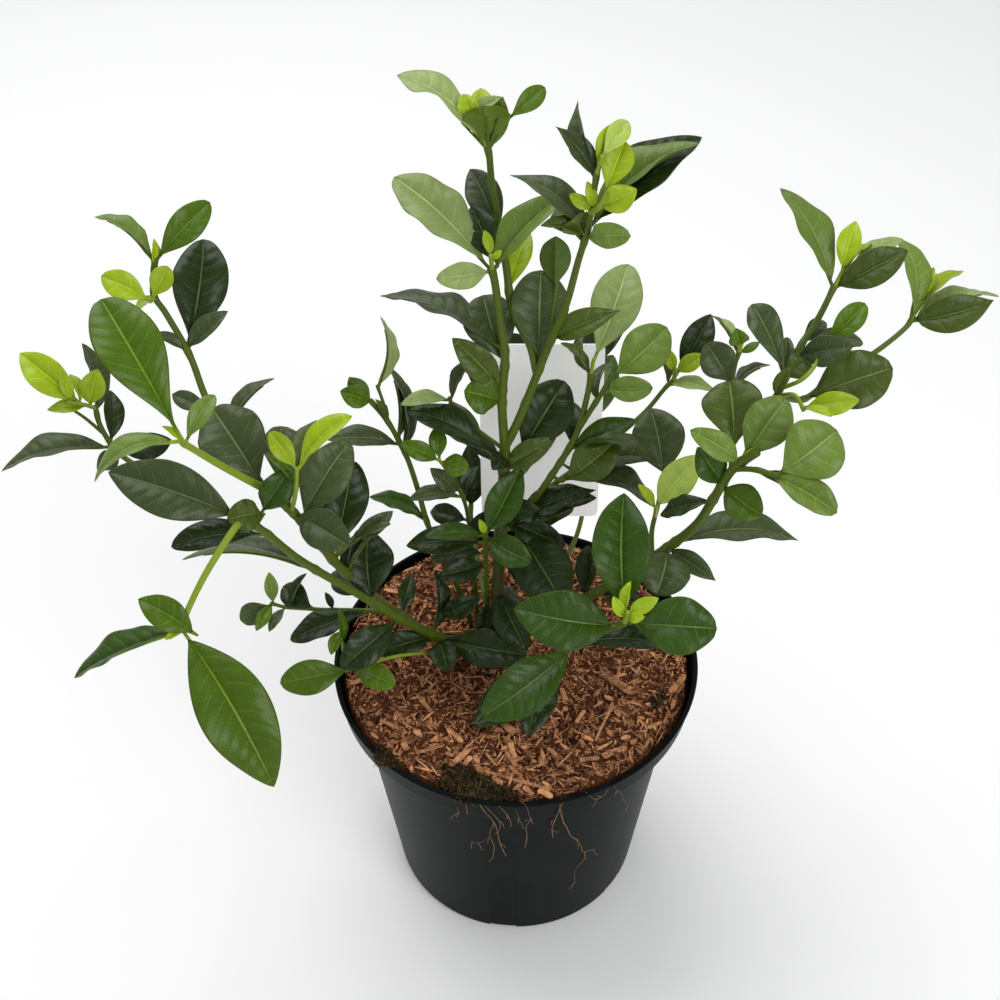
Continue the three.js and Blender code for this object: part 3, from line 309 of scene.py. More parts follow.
        Stem(((472, 628, 32), (455, 580, 30), (440, 550, 30), (428, 525, 34), (418, 490, 40),
              (408, 460, 45), (400, 443, 47), (388, 422, 50), (370, 400, 52)), 2, rooted=True),
        Stem(((388, 422, 50), (383, 402, 54), (377, 385, 57)), 1.2),
    ), (
        Leaf(399, 441, 389, 366, 8, GREY, 4, fold=24), Leaf(372, 402, 340, 391, 15, BRIGHT, 8, fold=24),
        Leaf(377, 385, 380, 316, 5, SILVER, -2, fold=26, arch=0.16), Leaf(400, 443, 325, 439, 13, GREY, 8),
        Leaf(427, 522, 369, 497, 11, MID, 6), Leaf(388, 422, 375, 399, 5, OLIVE, 10),
        Leaf(372, 400, 349, 377, 12, MID, 4, under=True), Leaf(403, 452, 391, 372, 9, GREY, 10, fold=26),
    )),
    Shoot("mid_low_stem", None, Slot.DARK, (
        Stem(((478, 634, 27), (474, 570, 32), (464, 500, 34), (452, 478, 34), (442, 463, 33)), 1.5,
             rooted=True),
    ), (
        Leaf(460, 492, 430, 468, 12, GREY, 14), Leaf(462, 496, 408, 500, 10, GREY, 6),
        Leaf(468, 520, 430, 512, 14, DARK, -10), Leaf(464, 498, 478, 466, 8, DARK, -12),
    )),
    Shoot("right_twig", "right_arm", Slot.GREY, (
        Stem(((652, 556, -20), (652, 530, -4), (658, 505, 8), (664, 474, 22)), 1.6),
    ), (
        Leaf(663, 476, 650, 408, 32, GREY, -6),
    )),
    Shoot("right_inner_stem", "centre_right_stem", Slot.GREY, (
        Stem(((538, 495, 30), (600, 450, 64), (645, 412, 82), (667, 386, 90), (676, 378, 92)), 1.8),
    ), (
        Leaf(678, 372, 711, 314, 20, DARK, 4, fold=22), Leaf(668, 386, 715, 391, 9, SILVER, 12, arch=0.16),
        Leaf(668, 384, 659, 352, 7, GREY, -8, fold=24),
    )),
    Shoot("right_mid_stem", "right_arm", Slot.GREY, (
        Stem(((734, 462, -38), (732, 430, -16), (731, 395, -4), (735, 365, 2), (740, 350, 4)), 1.6),
    ), (
        Leaf(734, 385, 706, 343, 20, GREY, 6, BLUNT), Leaf(738, 354, 711, 315, 4, SILVER, -12, fold=26),
        Leaf(732, 388, 771, 365, 5, GREY, -8, fold=26), Leaf(740, 351, 760, 342, 5, BRIGHT, 2),
    )),
    Shoot("right_high_stem", "right_arm", Slot.MID, (
        Stem(((744, 458, -46), (760, 428, -24), (779, 392, -4), (799, 349, 12), (819, 317, 24),
              (835, 285, 34)), 2.2),
    ), (
        Leaf(834, 287, 780, 188, 16, FRESH), Leaf(835, 287, 908, 250, 20, OLIVE, 12, fold=20),
        Leaf(846, 272, 903, 239, 9, SILVER, 0, BLUNT), Leaf(802, 344, 826, 322, 11, GREY, -14),
        Leaf(800, 352, 863, 342, 13, GREY, -10, BLUNT), Leaf(799, 356, 853, 346, 17, GREY, 26, BLUNT),
        Leaf(784, 380, 752, 304, 17, GREY, -4, SPOON, arch=0.16, wave=0.3),
        Leaf(784, 379, 811, 357, 15, OLIVE, 2), Leaf(774, 398, 791, 366, 8, OLIVE, 12, fold=26),
        Leaf(784, 380, 787, 337, 9, GREY, -2, BLUNT, fold=26),
    )),
    Shoot("right_far_stem", "right_high_stem", Slot.OLIVE, (
        Stem(((777, 396, -6), (804, 399, 8), (830, 380, 24), (881, 348, 48), (908, 325, 58),
              (912, 318, 60)), 1.9),
    ), (
        Leaf(910, 322, 899, 239, 14, FRESH, -6, BLUNT, arch=0.18),
        Leaf(911, 318, 994, 300, 22, OLIVE, 12, POINTED, fold=20), Leaf(911, 320, 999, 297, 9, SILVER, -14),
        Leaf(804, 398, 893, 368, 32, OLIVE, 14, BLUNT, arch=0.14),
    )),
    Shoot("left_bright_stem", "left_arm", Slot.BRIGHT, (
        Stem(((262, 487, -26), (222, 466, -48), (183, 443, -72)), 2.2),
    ), (
        Leaf(180, 446, 101, 299, 32, BRIGHT, 0, SPOON, wave=0.05),
        Leaf(181, 444, 215, 395, 11, FRESH, -6, BLUNT, fold=20), Leaf(182, 443, 162, 426, 4, LIME, 2),
    )),
    Shoot("left_high_stem", "left_arm", Slot.DARK, (
        Stem(((262, 487, -22), (235, 445, 0), (207, 400, 18), (190, 356, 32), (165, 312, 44),
              (154, 295, 48), (155, 258, 56)), 2.2),
    ), (
        Leaf(186, 349, 203, 239, 31, DARK, -4, BLUNT, wave=0.22),
        Leaf(188, 350, 228, 311, 12, GREY, 8, fold=26), Leaf(187, 352, 152, 334, 7, GREY, 6, fold=24),
        Leaf(155, 262, 94, 217, 9, FRESH, 4, fold=26, arch=0.18),
        Leaf(155, 260, 210, 202, 18, BRIGHT, -4, BLUNT), Leaf(212, 408, 172, 394, 11, GREY, -8),
        Leaf(225, 430, 275, 378, 7, GREY, -6, fold=24), Leaf(155, 270, 154, 238, 5, LIME, 4),
        Leaf(154, 296, 135, 312, 5, PALE, 6),
    )),
    Shoot("left_far_stem", "left_arm", Slot.DARK, (
        Stem(((240, 517, -40), (180, 490, -8), (118, 452, 18), (100, 425, 28), (95, 405, 33)), 1.9),
        Stem(((106, 436, 24), (85, 418, 30), (70, 408, 33)), 1.1),
    ), (
        Leaf(112, 444, 110, 390, 12, DARK, -8), Leaf(98, 415, 82, 343, 12, GREY, -4, fold=22),
        Leaf(112, 447, 1, 472, 13, GREY, 6, fold=20), Leaf(118, 452, 172, 440, 16, DARK, -10),
        Leaf(118, 453, 97, 470, 12, GREY, 12),
    )),
    Shoot("left_hanging_stem", "left_arm", Slot.BRIGHT, (
        Stem(((240, 519, -46), (232, 532, -56), (205, 575, -74), (187, 612, -84), (181, 629, -88),
              (169, 637, -88)), 2),
    ), (
        Leaf(179, 626, 274, 787, 39, BRIGHT), Leaf(197, 635, 138, 599, 18, BRIGHT, 4),
        Leaf(180, 629, 74, 678, 13, MID, -10, arch=0.02, fold=22), Leaf(183, 628, 165, 640, 4, LIME, 6),
    )),
    Shoot("left_small_stem", "left_arm", Slot.DARK, (
        Stem(((398, 612, 0), (375, 611, 8), (310, 609, 14), (285, 607, 15), (270, 603, 16)), 1.4),
    ), (
        Leaf(271, 604, 256, 631, 9, BRIGHT, 10), Leaf(271, 604, 269, 572, 9, FRESH, 2),
        Leaf(272, 604, 240, 620, 15, GREY, -2, BLUNT), Leaf(313, 612, 283, 586, 17, DARK, -8, BLUNT),
        Leaf(290, 607, 307, 573, 6, DARK, 2, fold=24), Leaf(370, 605, 290, 640, 17, DARK, 10, BLUNT),
        Leaf(286, 609, 269, 632, 7, GREY, 8), Leaf(332, 609, 325, 592, 5, DARK, 4),
    )),
    Shoot("rim_left_stem", None, Slot.BRIGHT, (
        Stem(((452, 668, -2), (436, 655, -9), (398, 656, -22), (350, 670, -30)), 1.3, rooted=True),
    ), (
        Leaf(350, 668, 280, 683, 22, BRIGHT, 6, BLUNT),
    )),
    Shoot("left_lime_shoot", "left_arm", Slot.LIME, (
        Stem(((302, 515, -26), (296, 490, -34), (297, 468, -36)), 1.4),
    ), (
        Leaf(297, 468, 352, 416, 12, LIME, 8, BLUNT, fold=20),
        Leaf(296, 470, 269, 432, 12, LIME, 6, BLUNT, wave=0.2), Leaf(296, 488, 264, 455, 5, BRIGHT, 4),
    )),
    Shoot("left_high_tip", "left_high_stem", Slot.LIME, (
        Stem(((156, 299, 43), (150, 302, 38)), 1.1),
    ), (
        Leaf(150, 302, 101, 276, 16, LIME, 8, BLUNT), Leaf(151, 302, 168, 266, 13, LIME, 6, SPOON),
    )),
    Shoot("left_far_tip", "left_far_stem", Slot.LIME, (
        Stem(((93, 400, 30), (82, 404, 24), (67, 402, 20)), 1.1),
    ), (
        Leaf(82, 402, 20, 353, 21, LIME, 4, fold=24), Leaf(70, 402, 63, 372, 8, LIME, 2),
        Leaf(82, 404, 69, 374, 6, LIME, -4), Leaf(90, 404, 98, 369, 15, LIME, 6),
        Leaf(88, 403, 47, 410, 8, LIME, 10),
    )),
    Shoot("left_bright_tip", "left_bright_stem", Slot.LIME, (
        Stem(((182, 446, -76), (178, 441, -80)), 1.1),
    ), (
        Leaf(179, 442, 94, 483, 10, FRESH, 6, arch=0.2),
    )),
    Shoot("mid_left_tip", "mid_low_stem", Slot.LIME, (
        Stem(((444, 466, 30), (439, 460, 27)), 1.1),
    ), (
        Leaf(439, 460, 400, 443, 12, BRIGHT, 6), Leaf(440, 460, 437, 427, 11, BRIGHT, 2, BLUNT),
        Leaf(440, 462, 469, 470, 14, BRIGHT, 8, BLUNT),
    )),
    Shoot("top_left_bud", "main_stem", Slot.LIME, (
        Stem(((493, 262, 40), (491, 255, 40)), 1.4),
    ), (
        Leaf(492, 258, 484, 230, 6, LIME, 2), Leaf(493, 260, 502, 250, 4, LIME, 4),
    )),
    Shoot("top_stem_tip", "top_stem", Slot.LIME, (
        Stem(((485, 141, 89), (480, 128, 92)), 1.4),
    ), (
        Leaf(478, 126, 463, 94, 12, LIME, 2, BLUNT), Leaf(484, 124, 481, 88, 12, LIME, -6),
    )),
    Shoot("top_right_tip", "top_right_stem", Slot.LIME, (
        Stem(((594, 219, -2), (600, 206, -6), (606, 196, -8)), 1.4),
    ), (
        Leaf(606, 198, 625, 141, 16, LIME, 4, SPOON), Leaf(600, 208, 637, 189, 14, LIME, 8, wave=0.2),
        Leaf(597, 213, 587, 181, 6, LIME, 6), Leaf(596, 216, 569, 194, 7, LIME, 2),
    )),
    Shoot("top_right_bud", "top_right_stem", Slot.LIME, (
        Stem(((599, 166, -2), (602, 156, -3)), 1.2),
    ), (
        Leaf(599, 172, 619, 124, 12, LIME, 4, BLUNT), Leaf(606, 158, 628, 121, 11, PALE, -6, BLUNT),
    )),
    Shoot("right_pale_leaf", "centre_right_stem", Slot.PALE, (
        Stem(((592, 366, 43), (594, 358, 43)), 1.2),
    ), (
        Leaf(588, 362, 628, 264, 29, SILVER, -4, BLUNT),
    )),
    Shoot("front_tip", "front_shoot", Slot.LIME, (
        Stem(((628, 618, -68), (628, 612, -70)), 1.6),
    ), (
        Leaf(628, 617, 631, 581, 6, LIME, 2), Leaf(627, 618, 613, 596, 7, LIME, 8),
        Leaf(629, 617, 659, 598, 9, LIME, 6), Leaf(629, 618, 645, 617, 7, LIME, 8),
    )),
    Shoot("right_twig_tip", "right_twig", Slot.PALE, (
        Stem(((654, 512, -4), (656, 507, -7)), 1.4),
    ), (
        Leaf(655, 507, 702, 455, 20, PALE, 10), Leaf(655, 508, 638, 484, 6, LIME, 4),
    )),
    Shoot("right_inner_tip", "right_inner_stem", Slot.LIME, (
        Stem(((675, 374, 90), (676, 369, 88)), 1.4),
    ), (
        Leaf(676, 372, 706, 355, 11, LIME, 8), Leaf(675, 373, 666, 347, 8, LIME, 6),
    )),
    Shoot("right_mid_tip", "right_mid_stem", Slot.LIME, (
        Stem(((741, 347, 4), (742, 342, 4)), 1.2),
    ), (
        Leaf(741, 346, 736, 328, 11, BRIGHT, 14),
    )),
    Shoot("right_high_tip", "right_high_stem", Slot.LIME, (
        Stem(((838, 280, 34), (844, 269, 35)), 1.3),
    ), (
        Leaf(843, 271, 856, 221, 13, LIME, 2), Leaf(843, 272, 872, 243, 5, LIME, -4),
    )),
    Shoot("right_high_roll", "right_high_stem", Slot.BRIGHT, (
        Stem(((793, 384, -12), (804, 378, -10), (817, 362, -4), (825, 338, 4)), 1.3),
    ), (
        Leaf(824, 340, 865, 303, 15, BRIGHT, 4, BLUNT, fold=26),
    )),
    Shoot("right_far_tip", "right_far_stem", Slot.LIME, (
        Stem(((914, 313, 62), (922, 302, 67)), 1.1),
    ), (
        Leaf(921, 303, 934, 267, 9, LIME, -4), Leaf(922, 302, 964, 271, 9, LIME, -12),
    )),
    Shoot("right_far_lime", "right_far_stem", Slot.LIME, (
        Stem(((786, 388, -10), (796, 396, -16), (804, 411, -20)), 1.3),
    ), (
        Leaf(803, 409, 860, 400, 13, LIME, 8), Leaf(804, 411, 832, 417, 5, LIME, 12),
    )),
    Shoot("rim_left_tip", "rim_left_stem", Slot.LIME, (
        Stem(((346, 667, -30), (344, 655, -28), (343, 642, -26)), 1.1),
    ), (
        Leaf(343, 643, 338, 609, 6, BRIGHT, 2), Leaf(340, 630, 331, 655, 8, BRIGHT, 6),
        Leaf(348, 671, 396, 686, 16, BRIGHT, 14, BLUNT),
    )),
)

BACK_SHOOTS = (
    BackShoot("back_right_stem", "main_stem", Slot.MID, (MID, DARK), (
        (-6, 18, 190), (32, 68, 204), (44, 98, 213), (46, 116, 244), (38, 124, 286), (32, 128, 314),
    ), leaf_length=56, seed=11),
    BackShoot("back_left_stem", "main_stem", Slot.OLIVE, (OLIVE, DARK), (
        (-14, 18, 194), (-26, 68, 208), (-30, 100, 226), (-18, 118, 262), (-6, 124, 290),
    ), leaf_length=50, seed=23),
)


def unit(vector: Array) -> Array:
    """The vector, or each row of an array of vectors, at length one."""
    return vector / np.maximum(np.linalg.norm(vector, axis=-1, keepdims=True), 1e-12)


def turned(vector: Array, axis: Array, angle: float) -> Array:
    """The vector turned about an axis of length one, by an angle in radians."""
    along = axis * np.dot(axis, vector)
    return along + (vector - along) * math.cos(angle) + np.cross(axis, vector) * math.sin(angle)


def smooth(values: Array, low: float, high: float) -> Array:
    """A soft step from 0 at low to 1 at high."""
    share = np.clip((values - low) / (high - low), 0, 1)
    return share * share * (3 - 2 * share)


@dataclass(frozen=True)
class Survey:
    """The viewing point from which the plant was measured, in metres and picture points."""

    centre_u: float = 516.0
    centre_v: float = 500.0
    focal: float = 1376.0
    width: float = 1000.0
    elevation: float = math.radians(42.37)
    distance: float = 0.783
    aim_height: float = 0.31979

    @property
    def back(self) -> Array:
        """The direction from the aim towards the eye."""
        return np.array([0.0, -math.cos(self.elevation), math.sin(self.elevation)])

    @property
    def up(self) -> Array:
        """The picture's upward direction."""
        return np.array([0.0, math.sin(self.elevation), math.cos(self.elevation)])

    @property
    def eye(self) -> Array:
        """The viewing point."""
        return self.aim_height * UP + self.distance * self.back

    def ray(self, u: float, v: float) -> Array:
        """The direction from the eye through a picture point."""
        across = np.array([u - self.centre_u, 0.0, 0.0])
        return across + self.up * (self.centre_v - v) - self.back * self.focal

    def at_depth(self, u: float, v: float, depth: float) -> Array:
        """The point seen at (u, v) in the upright plane that lies depth behind the pot's axis."""
        return self.eye + self.ray(u, v) * ((depth - self.eye[1]) / self.ray(u, v)[1])

    def beside(self, u: float, v: float, anchor: Array, nearer: float) -> Array:
        """The point seen at (u, v) as far from the eye as the anchor, or nearer by some metres."""
        reach = float(np.dot(self.eye - anchor, self.back)) - nearer
        return self.eye + self.ray(u, v) * (reach / self.focal)

    def at_height(self, u: float, v: float, height: float) -> Array:
        """The point seen at (u, v) at a height above the ground."""
        return self.eye + self.ray(u, v) * ((height - self.eye[2]) / self.ray(u, v)[2])

    def picture_of(self, points: Array) -> Array:
        """The picture points of points in space.

        Args:
            points: rows of points in metres.

        Returns:
            Rows of columns and rows of the picture.
        """
        offset = np.atleast_2d(points) - self.eye
        depth = -offset @ self.back
        across = self.centre_u + self.focal * offset[:, 0] / depth
        down = self.centre_v - self.focal * (offset @ self.up) / depth
        return np.column_stack([across, down])


SURVEY = Survey()


class Course:
    """A smooth centripetal curve through points, sampled evenly along its length."""

    def __init__(self, points: Sequence[Array], step: float = 2.0 * MM) -> None:
        """Samples the curve.

        Args:
            points: places that the curve passes through.
            step: distance between samples, in metres.
        """
        ends = [2 * points[0] - points[1], *points, 2 * points[-1] - points[-2]]
        dense = [self._span(*ends[i:i + 4], np.linspace(0, 1, 40)) for i in range(len(points) - 1)]
        line = np.vstack([dense[0], *[part[1:] for part in dense[1:]]])
        travelled = np.concatenate([[0], np.cumsum(np.linalg.norm(np.diff(line, axis=0), axis=1))])
        self.length = float(travelled[-1])
        self.count = max(3, int(round(self.length / step)) + 1)
        marks = np.linspace(0, self.length, self.count)
        self.places = np.column_stack([np.interp(marks, travelled, line[:, k]) for k in range(3)])

    @staticmethod
    def _span(before: Array, start: Array, end: Array, after: Array, shares: Array) -> Array:
        """The curve between two points, at shares from 0 to 1.

        Args:
            before: point before the span.
            start: its first point.
            end: its last point.
            after: point after the span.
            shares: where to sample.

        Returns:
            One row for each share.
        """
        gaps = [max(float(np.linalg.norm(b - a)) ** 0.5, 1e-6)
                for a, b in ((before, start), (start, end), (end, after))]
        leave = (start - before) / gaps[0] - (end - before) / (gaps[0] + gaps[1]) + (end - start) / gaps[1]
        arrive = (end - start) / gaps[1] - (after - start) / (gaps[1] + gaps[2]) + (after - end) / gaps[2]
        leave, arrive = leave * gaps[1], arrive * gaps[1]
        t = shares[:, None]
        curved = (-3 * start + 3 * end - 2 * leave - arrive) * t ** 2
        return start + leave * t + curved + (2 * start - 2 * end + leave + arrive) * t ** 3

    def at(self, share: float) -> Array:
        """The place at a share of the length."""
        mark = share * (self.count - 1)
        low = min(int(mark), self.count - 2)
        return self.places[low] + (self.places[low + 1] - self.places[low]) * (mark - low)

    def ahead(self, share: float) -> Array:
        """The direction at a share of the length."""
        return unit(self.at(min(1.0, share + 0.01)) - self.at(max(0.0, share - 0.01)))


def nearest(courses: Iterable[Course], spot: Array, view: Callable[[Array], Array] = np.asarray) -> Array:
    """The sample of some courses, short of their ends, whose view lies nearest to a spot."""
    places = np.vstack([course.places[1:-1] for course in courses])
    return places[int(np.argmin(np.linalg.norm(view(places) - spot, axis=1)))]


def linear(colour: Colour) -> tuple[float, float, float, float]:
    """A display colour from 0 to 255 as the linear colour that a shader takes."""
    shares = (value / 255 for value in colour)
    steps = [s / 12.92 if s <= 0.04045 else ((s + 0.055) / 1.055) ** 2.4 for s in shares]
    return (*steps, 1.0)


class Nodes:
    """A node tree that is built with short calls."""

    def __init__(self, tree: Tree) -> None:
        """Keeps the tree."""
        self.tree = tree

    @property
    def given(self) -> Any:
        """The values that a group is given."""
        return self.tree.nodes["in"].outputs

    def add(self, kind: str, inputs: dict[str | int, Any] | None = None, **settings: Any) -> Node:
        """Adds a node.

        Args:
            kind: Blender's name for the node's type.
            inputs: what each input is fed.
            settings: the node's own options.

        Returns:
            The node.
        """
        node = self.tree.nodes.new(kind)
        for name, value in settings.items():
            setattr(node, name, value)
        for name, value in (inputs or {}).items():
            self.feed(node.inputs[name], value)
        return node

    def feed(self, socket: Socket, value: Any) -> None:
        """Feeds an input.

        Args:
            socket: the input.
            value: a plain value, another socket, or a node for its first output.
        """
        source = value.outputs[0] if isinstance(value, Node) else value
        if isinstance(source, Socket):
            self.tree.links.new(source, socket)
        else:
            socket.default_value = source

    def give(self, **values: Any) -> Tree:
        """Feeds a group's outputs, and returns its tree."""
        for name, value in values.items():
            self.feed(self.tree.nodes["out"].inputs[name], value)
        return self.tree

    def math(self, operation: str, *values: Any) -> Socket:
        """The result of a sum on values or sockets."""
        return self.add("ShaderNodeMath", dict(enumerate(values)), operation=operation).outputs[0]

    def times(self, first: Any, second: Any) -> Socket:
        """The product of two values."""
        return self.math("MULTIPLY", first, second)

    def scaled(self, value: Any, scale: Any, more: Any) -> Socket:
        """A value times a scale, and some more."""
        return self.math("MULTIPLY_ADD", value, scale, more)

    def parts(self, vector: Any) -> tuple[Socket, ...]:
        """The three parts of a vector."""
        return tuple(self.add("ShaderNodeSeparateXYZ", {0: vector}).outputs)

    def vector(self, *parts: Any) -> Socket:
        """A vector of three parts."""
        return self.add("ShaderNodeCombineXYZ", dict(enumerate(parts))).outputs[0]

    def mix(self, first: Any, second: Any, share: Any) -> Socket:
        """The colour between two colours."""
        return self.add("ShaderNodeMix", {0: share, 6: first, 7: second}, data_type="RGBA").outputs[2]

    def band(self, value: Any, low: float, high: float) -> Socket:
        """A soft step from 0 at low to 1 at high, or down where low is the larger."""
        ends = (low, high, 0.0, 1.0) if low < high else (high, low, 1.0, 0.0)
        inputs = dict(enumerate((value, *ends)))
        return self.add("ShaderNodeMapRange", inputs, interpolation_type="SMOOTHSTEP").outputs[0]

    def noise(self, vector: Any, scale: Any, detail: float, roughness: float = 0.55) -> Socket:
        """A cloudy value from 0 to 1 over a vector."""
        inputs = {"Vector": vector, "Scale": scale, "Detail": detail, "Roughness": roughness}
        return self.add("ShaderNodeTexNoise", inputs).outputs[0]

    def place(self) -> Socket:
        """The object coordinates of the shaded point."""
        return self.add("ShaderNodeTexCoord").outputs["Object"]

    def attribute(self, name: str) -> Socket:
        """A number that the mesh carries."""
        return self.add("ShaderNodeAttribute", attribute_name=name).outputs["Fac"]

    def shade(self, height: Any, relief: Pair, values: dict[str, Any]) -> None:
        """Feeds the shader of a material.

        Args:
            height: height of the fine relief.
            relief: strength of the relief, and its height in metres.
            values: the shader's other inputs.
        """
        bump = self.add("ShaderNodeBump", {"Strength": relief[0], "Distance": relief[1], "Height": height})
        for name, value in {**values, "Normal": bump}.items():
            self.feed(self.tree.nodes["Principled BSDF"].inputs[name], value)


def new_material(name: str) -> tuple[Material, Nodes]:
    """An empty node material, and its tree."""
    material = bpy.data.materials.new(name)
    material.use_nodes = True
    return material, Nodes(material.node_tree)


FLOAT = "NodeSocketFloat"
COLOUR = "NodeSocketColor"
VECTOR = "NodeSocketVector"
GEOMETRY = "NodeSocketGeometry"
MATERIAL = "NodeSocketMaterial"
INTEGER = "NodeSocketInt"


def new_group(name: str, kind: str, inputs: dict[str, str], outputs: dict[str, str]) -> Nodes:
    """Makes a node group with named sockets.

    Args:
        name: name of the group.
        kind: type of the tree.
        inputs: type of each input.
        outputs: type of each output.

    Returns:
        The tree with its Group Input and Group Output nodes.
    """
    tree = bpy.data.node_groups.new(name, kind)
    for way, sockets in (("INPUT", inputs), ("OUTPUT", outputs)):
        for label, socket_type in sockets.items():
            tree.interface.new_socket(label, in_out=way, socket_type=socket_type)
    nodes = Nodes(tree)
    nodes.add("NodeGroupInput", name="in")
    nodes.add("NodeGroupOutput", name="out")
    return nodes


@dataclass(frozen=True)
class LeafPattern:
    """The node group that draws every leaf from its base (v = 0) to its tip and from margin to margin.

    Args:
        rib: where the midrib ends and where it shows in full, as shares of the half width.
        vein: the same for a side vein, as shares of the distance between two.
        margin: where the pale margin starts and where it shows in full.
        net: the same for the finest veins.
        vein_reach: the side veins fade between these shares of the half width.
        vein_gaps: they are broken where a noise lies between these values.
        vein_scale: detail of that noise for each metre.
        net_scale: cells of the net for each metre.
        cloud_scale: clouds for each metre.
        speck_scale: specks for each metre.
        strengths: how strongly side veins, net, margin and rib are drawn.
        shadows: lightness of the palest cloud over the darkest, and of the darkest.
        tinting: how much lighter or darker a leaf may be than its neighbours.
        back_rough: what the lower side adds to the roughness.
        cloud_rough: what the clouds add to it.
        relief: height of side veins, net, clouds and specks.
    """

    rib: Pair = (0.042, 0.01)
    vein: Pair = (0.07, 0.01)
    margin: Pair = (0.955, 0.99)
    net: Pair = (0.11, 0.0)
    vein_reach: Pair = (0.96, 0.7)
    vein_gaps: Pair = (0.34, 0.58)
    vein_scale: float = 130.0
    net_scale: float = 520.0
    cloud_scale: float = 70.0
    speck_scale: float = 900.0
    strengths: tuple[float, float, float, float] = (0.26, 0.07, 0.35, 0.75)
    shadows: Pair = (0.5, 0.75)
    tinting: float = 0.14
    back_rough: float = 0.2
    cloud_rough: float = 0.25
    relief: tuple[float, float, float, float] = (-0.5, -0.25, 0.6, 0.12)

    @cache
    def group(self) -> Tree:
        """The group, made on first use."""
        nodes = new_group(
            "leaf_surface", "ShaderNodeTree",
            {"Flesh": COLOUR, "Vein": COLOUR, "Back": COLOUR, "Gloss": FLOAT},
            {"Colour": COLOUR, "Roughness": FLOAT, "Height": FLOAT},
        )
        given, place = nodes.given, nodes.place()
        u, v, _ = nodes.parts(nodes.add("ShaderNodeUVMap", uv_map="blade"))
        across = nodes.math("ABSOLUTE", nodes.scaled(u, 2.0, -1.0))
        off_vein = nodes.math("ABSOLUTE", nodes.math("SUBTRACT", nodes.math("FRACT", v), 0.5))
        inside = nodes.times(nodes.band(across, *self.vein_reach), nodes.band(across, 0.0, 0.1))
        broken = nodes.band(nodes.noise(place, self.vein_scale, 2.0), *self.vein_gaps)
        veins = nodes.times(nodes.band(off_vein, *self.vein), nodes.times(inside, broken))
        cells = nodes.add("ShaderNodeTexVoronoi", {"Vector": place, "Scale": self.net_scale},
                          feature="DISTANCE_TO_EDGE")
        net = nodes.band(cells.outputs["Distance"], *self.net)
        cloud = nodes.noise(place, self.cloud_scale, 4.0)
        speck = nodes.noise(place, self.speck_scale, 2.0)
        drawn = nodes.scaled(veins, self.strengths[0], nodes.times(net, self.strengths[1]))
        drawn = nodes.scaled(nodes.band(across, *self.margin), self.strengths[2], drawn)
        drawn = nodes.math("MAXIMUM", drawn, nodes.times(nodes.band(across, *self.rib), self.strengths[3]))
        front = nodes.mix(given["Flesh"], given["Vein"], drawn)
        under = nodes.mix(given["Back"], given["Vein"], nodes.times(drawn, 0.8))
        below = nodes.attribute("underside")
        light = nodes.scaled(cloud, *self.shadows)
        light = nodes.times(light, nodes.scaled(nodes.attribute("tint"), self.tinting, 1.0))
        sides = nodes.mix(front, under, below)
        colour = nodes.add("ShaderNodeHueSaturation", {"Value": light, "Color": sides})
        rough = nodes.scaled(below, self.back_rough, given["Gloss"])
        rough = nodes.scaled(nodes.math("SUBTRACT", cloud, 0.5), self.cloud_rough, rough)
        height = nodes.scaled(veins, self.relief[0], nodes.times(net, self.relief[1]))
        height = nodes.scaled(speck, self.relief[3], nodes.scaled(cloud, self.relief[2], height))
        return nodes.give(Colour=colour, Roughness=rough, Height=height)


PATTERN = LeafPattern()


@dataclass(frozen=True)
class LeafFinish:
    """The waxy skin of a leaf.

    Args:
        tone: colour of the upper side.
        gloss: roughness of the upper side.
        shine: strength of the mirror light.
        paler: what the veins add to each part of the colour.
        back: what the lower side adds to each part, once it is faded.
        faded: share of the colour that the lower side keeps.
        relief: strength of the fine relief, and its height in metres.
    """

    tone: Tone
    gloss: float = 0.27
    shine: float = 0.26
    paler: Colour = (62, 62, 42)
    back: Colour = (42, 44, 26)
    faded: float = 0.7
    relief: Pair = (0.5, 0.3 * MM)

    @cache
    def material(self) -> Material:
        """The leaf material of this tone, made on first use."""
        flesh = self.tone.value
        vein = tuple(min(255, part + more) for part, more in zip(flesh, self.paler))
        back = tuple(int(part * self.faded + more) for part, more in zip(flesh, self.back))
        material, nodes = new_material(f"foliage_{self.tone.name.lower()}")
        colours = {"Flesh": linear(flesh), "Vein": linear(vein), "Back": linear(back), "Gloss": self.gloss}
        drawn = nodes.add("ShaderNodeGroup", colours, node_tree=PATTERN.group()).outputs
        nodes.shade(drawn["Height"], self.relief, {
            "Base Color": drawn["Colour"], "Roughness": drawn["Roughness"],
            "Specular IOR Level": self.shine})
        return material


@cache
def grain_group() -> Tree:
    """A node group with fibres along one axis and dust over them, for bark, wood, soil and plastic."""
    nodes = new_group(
        "grain", "ShaderNodeTree",
        {"Vector": VECTOR, "Fineness": FLOAT},
        {"Fibre": FLOAT, "Dust": FLOAT, "Height": FLOAT},
    )
    vector, fineness = nodes.given["Vector"], nodes.given["Fineness"]
    fine = nodes.noise(vector, fineness, 5.0, 0.5)
    coarse = nodes.noise(vector, nodes.times(fineness, 0.22), 3.0, 0.5)
    dust = nodes.noise(vector, nodes.times(fineness, 4.0), 2.0, 0.5)
    fibre = nodes.scaled(coarse, 0.5, nodes.times(fine, 0.5))
    return nodes.give(Fibre=fibre, Dust=nodes.band(dust, 0.62, 0.78), Height=fine)


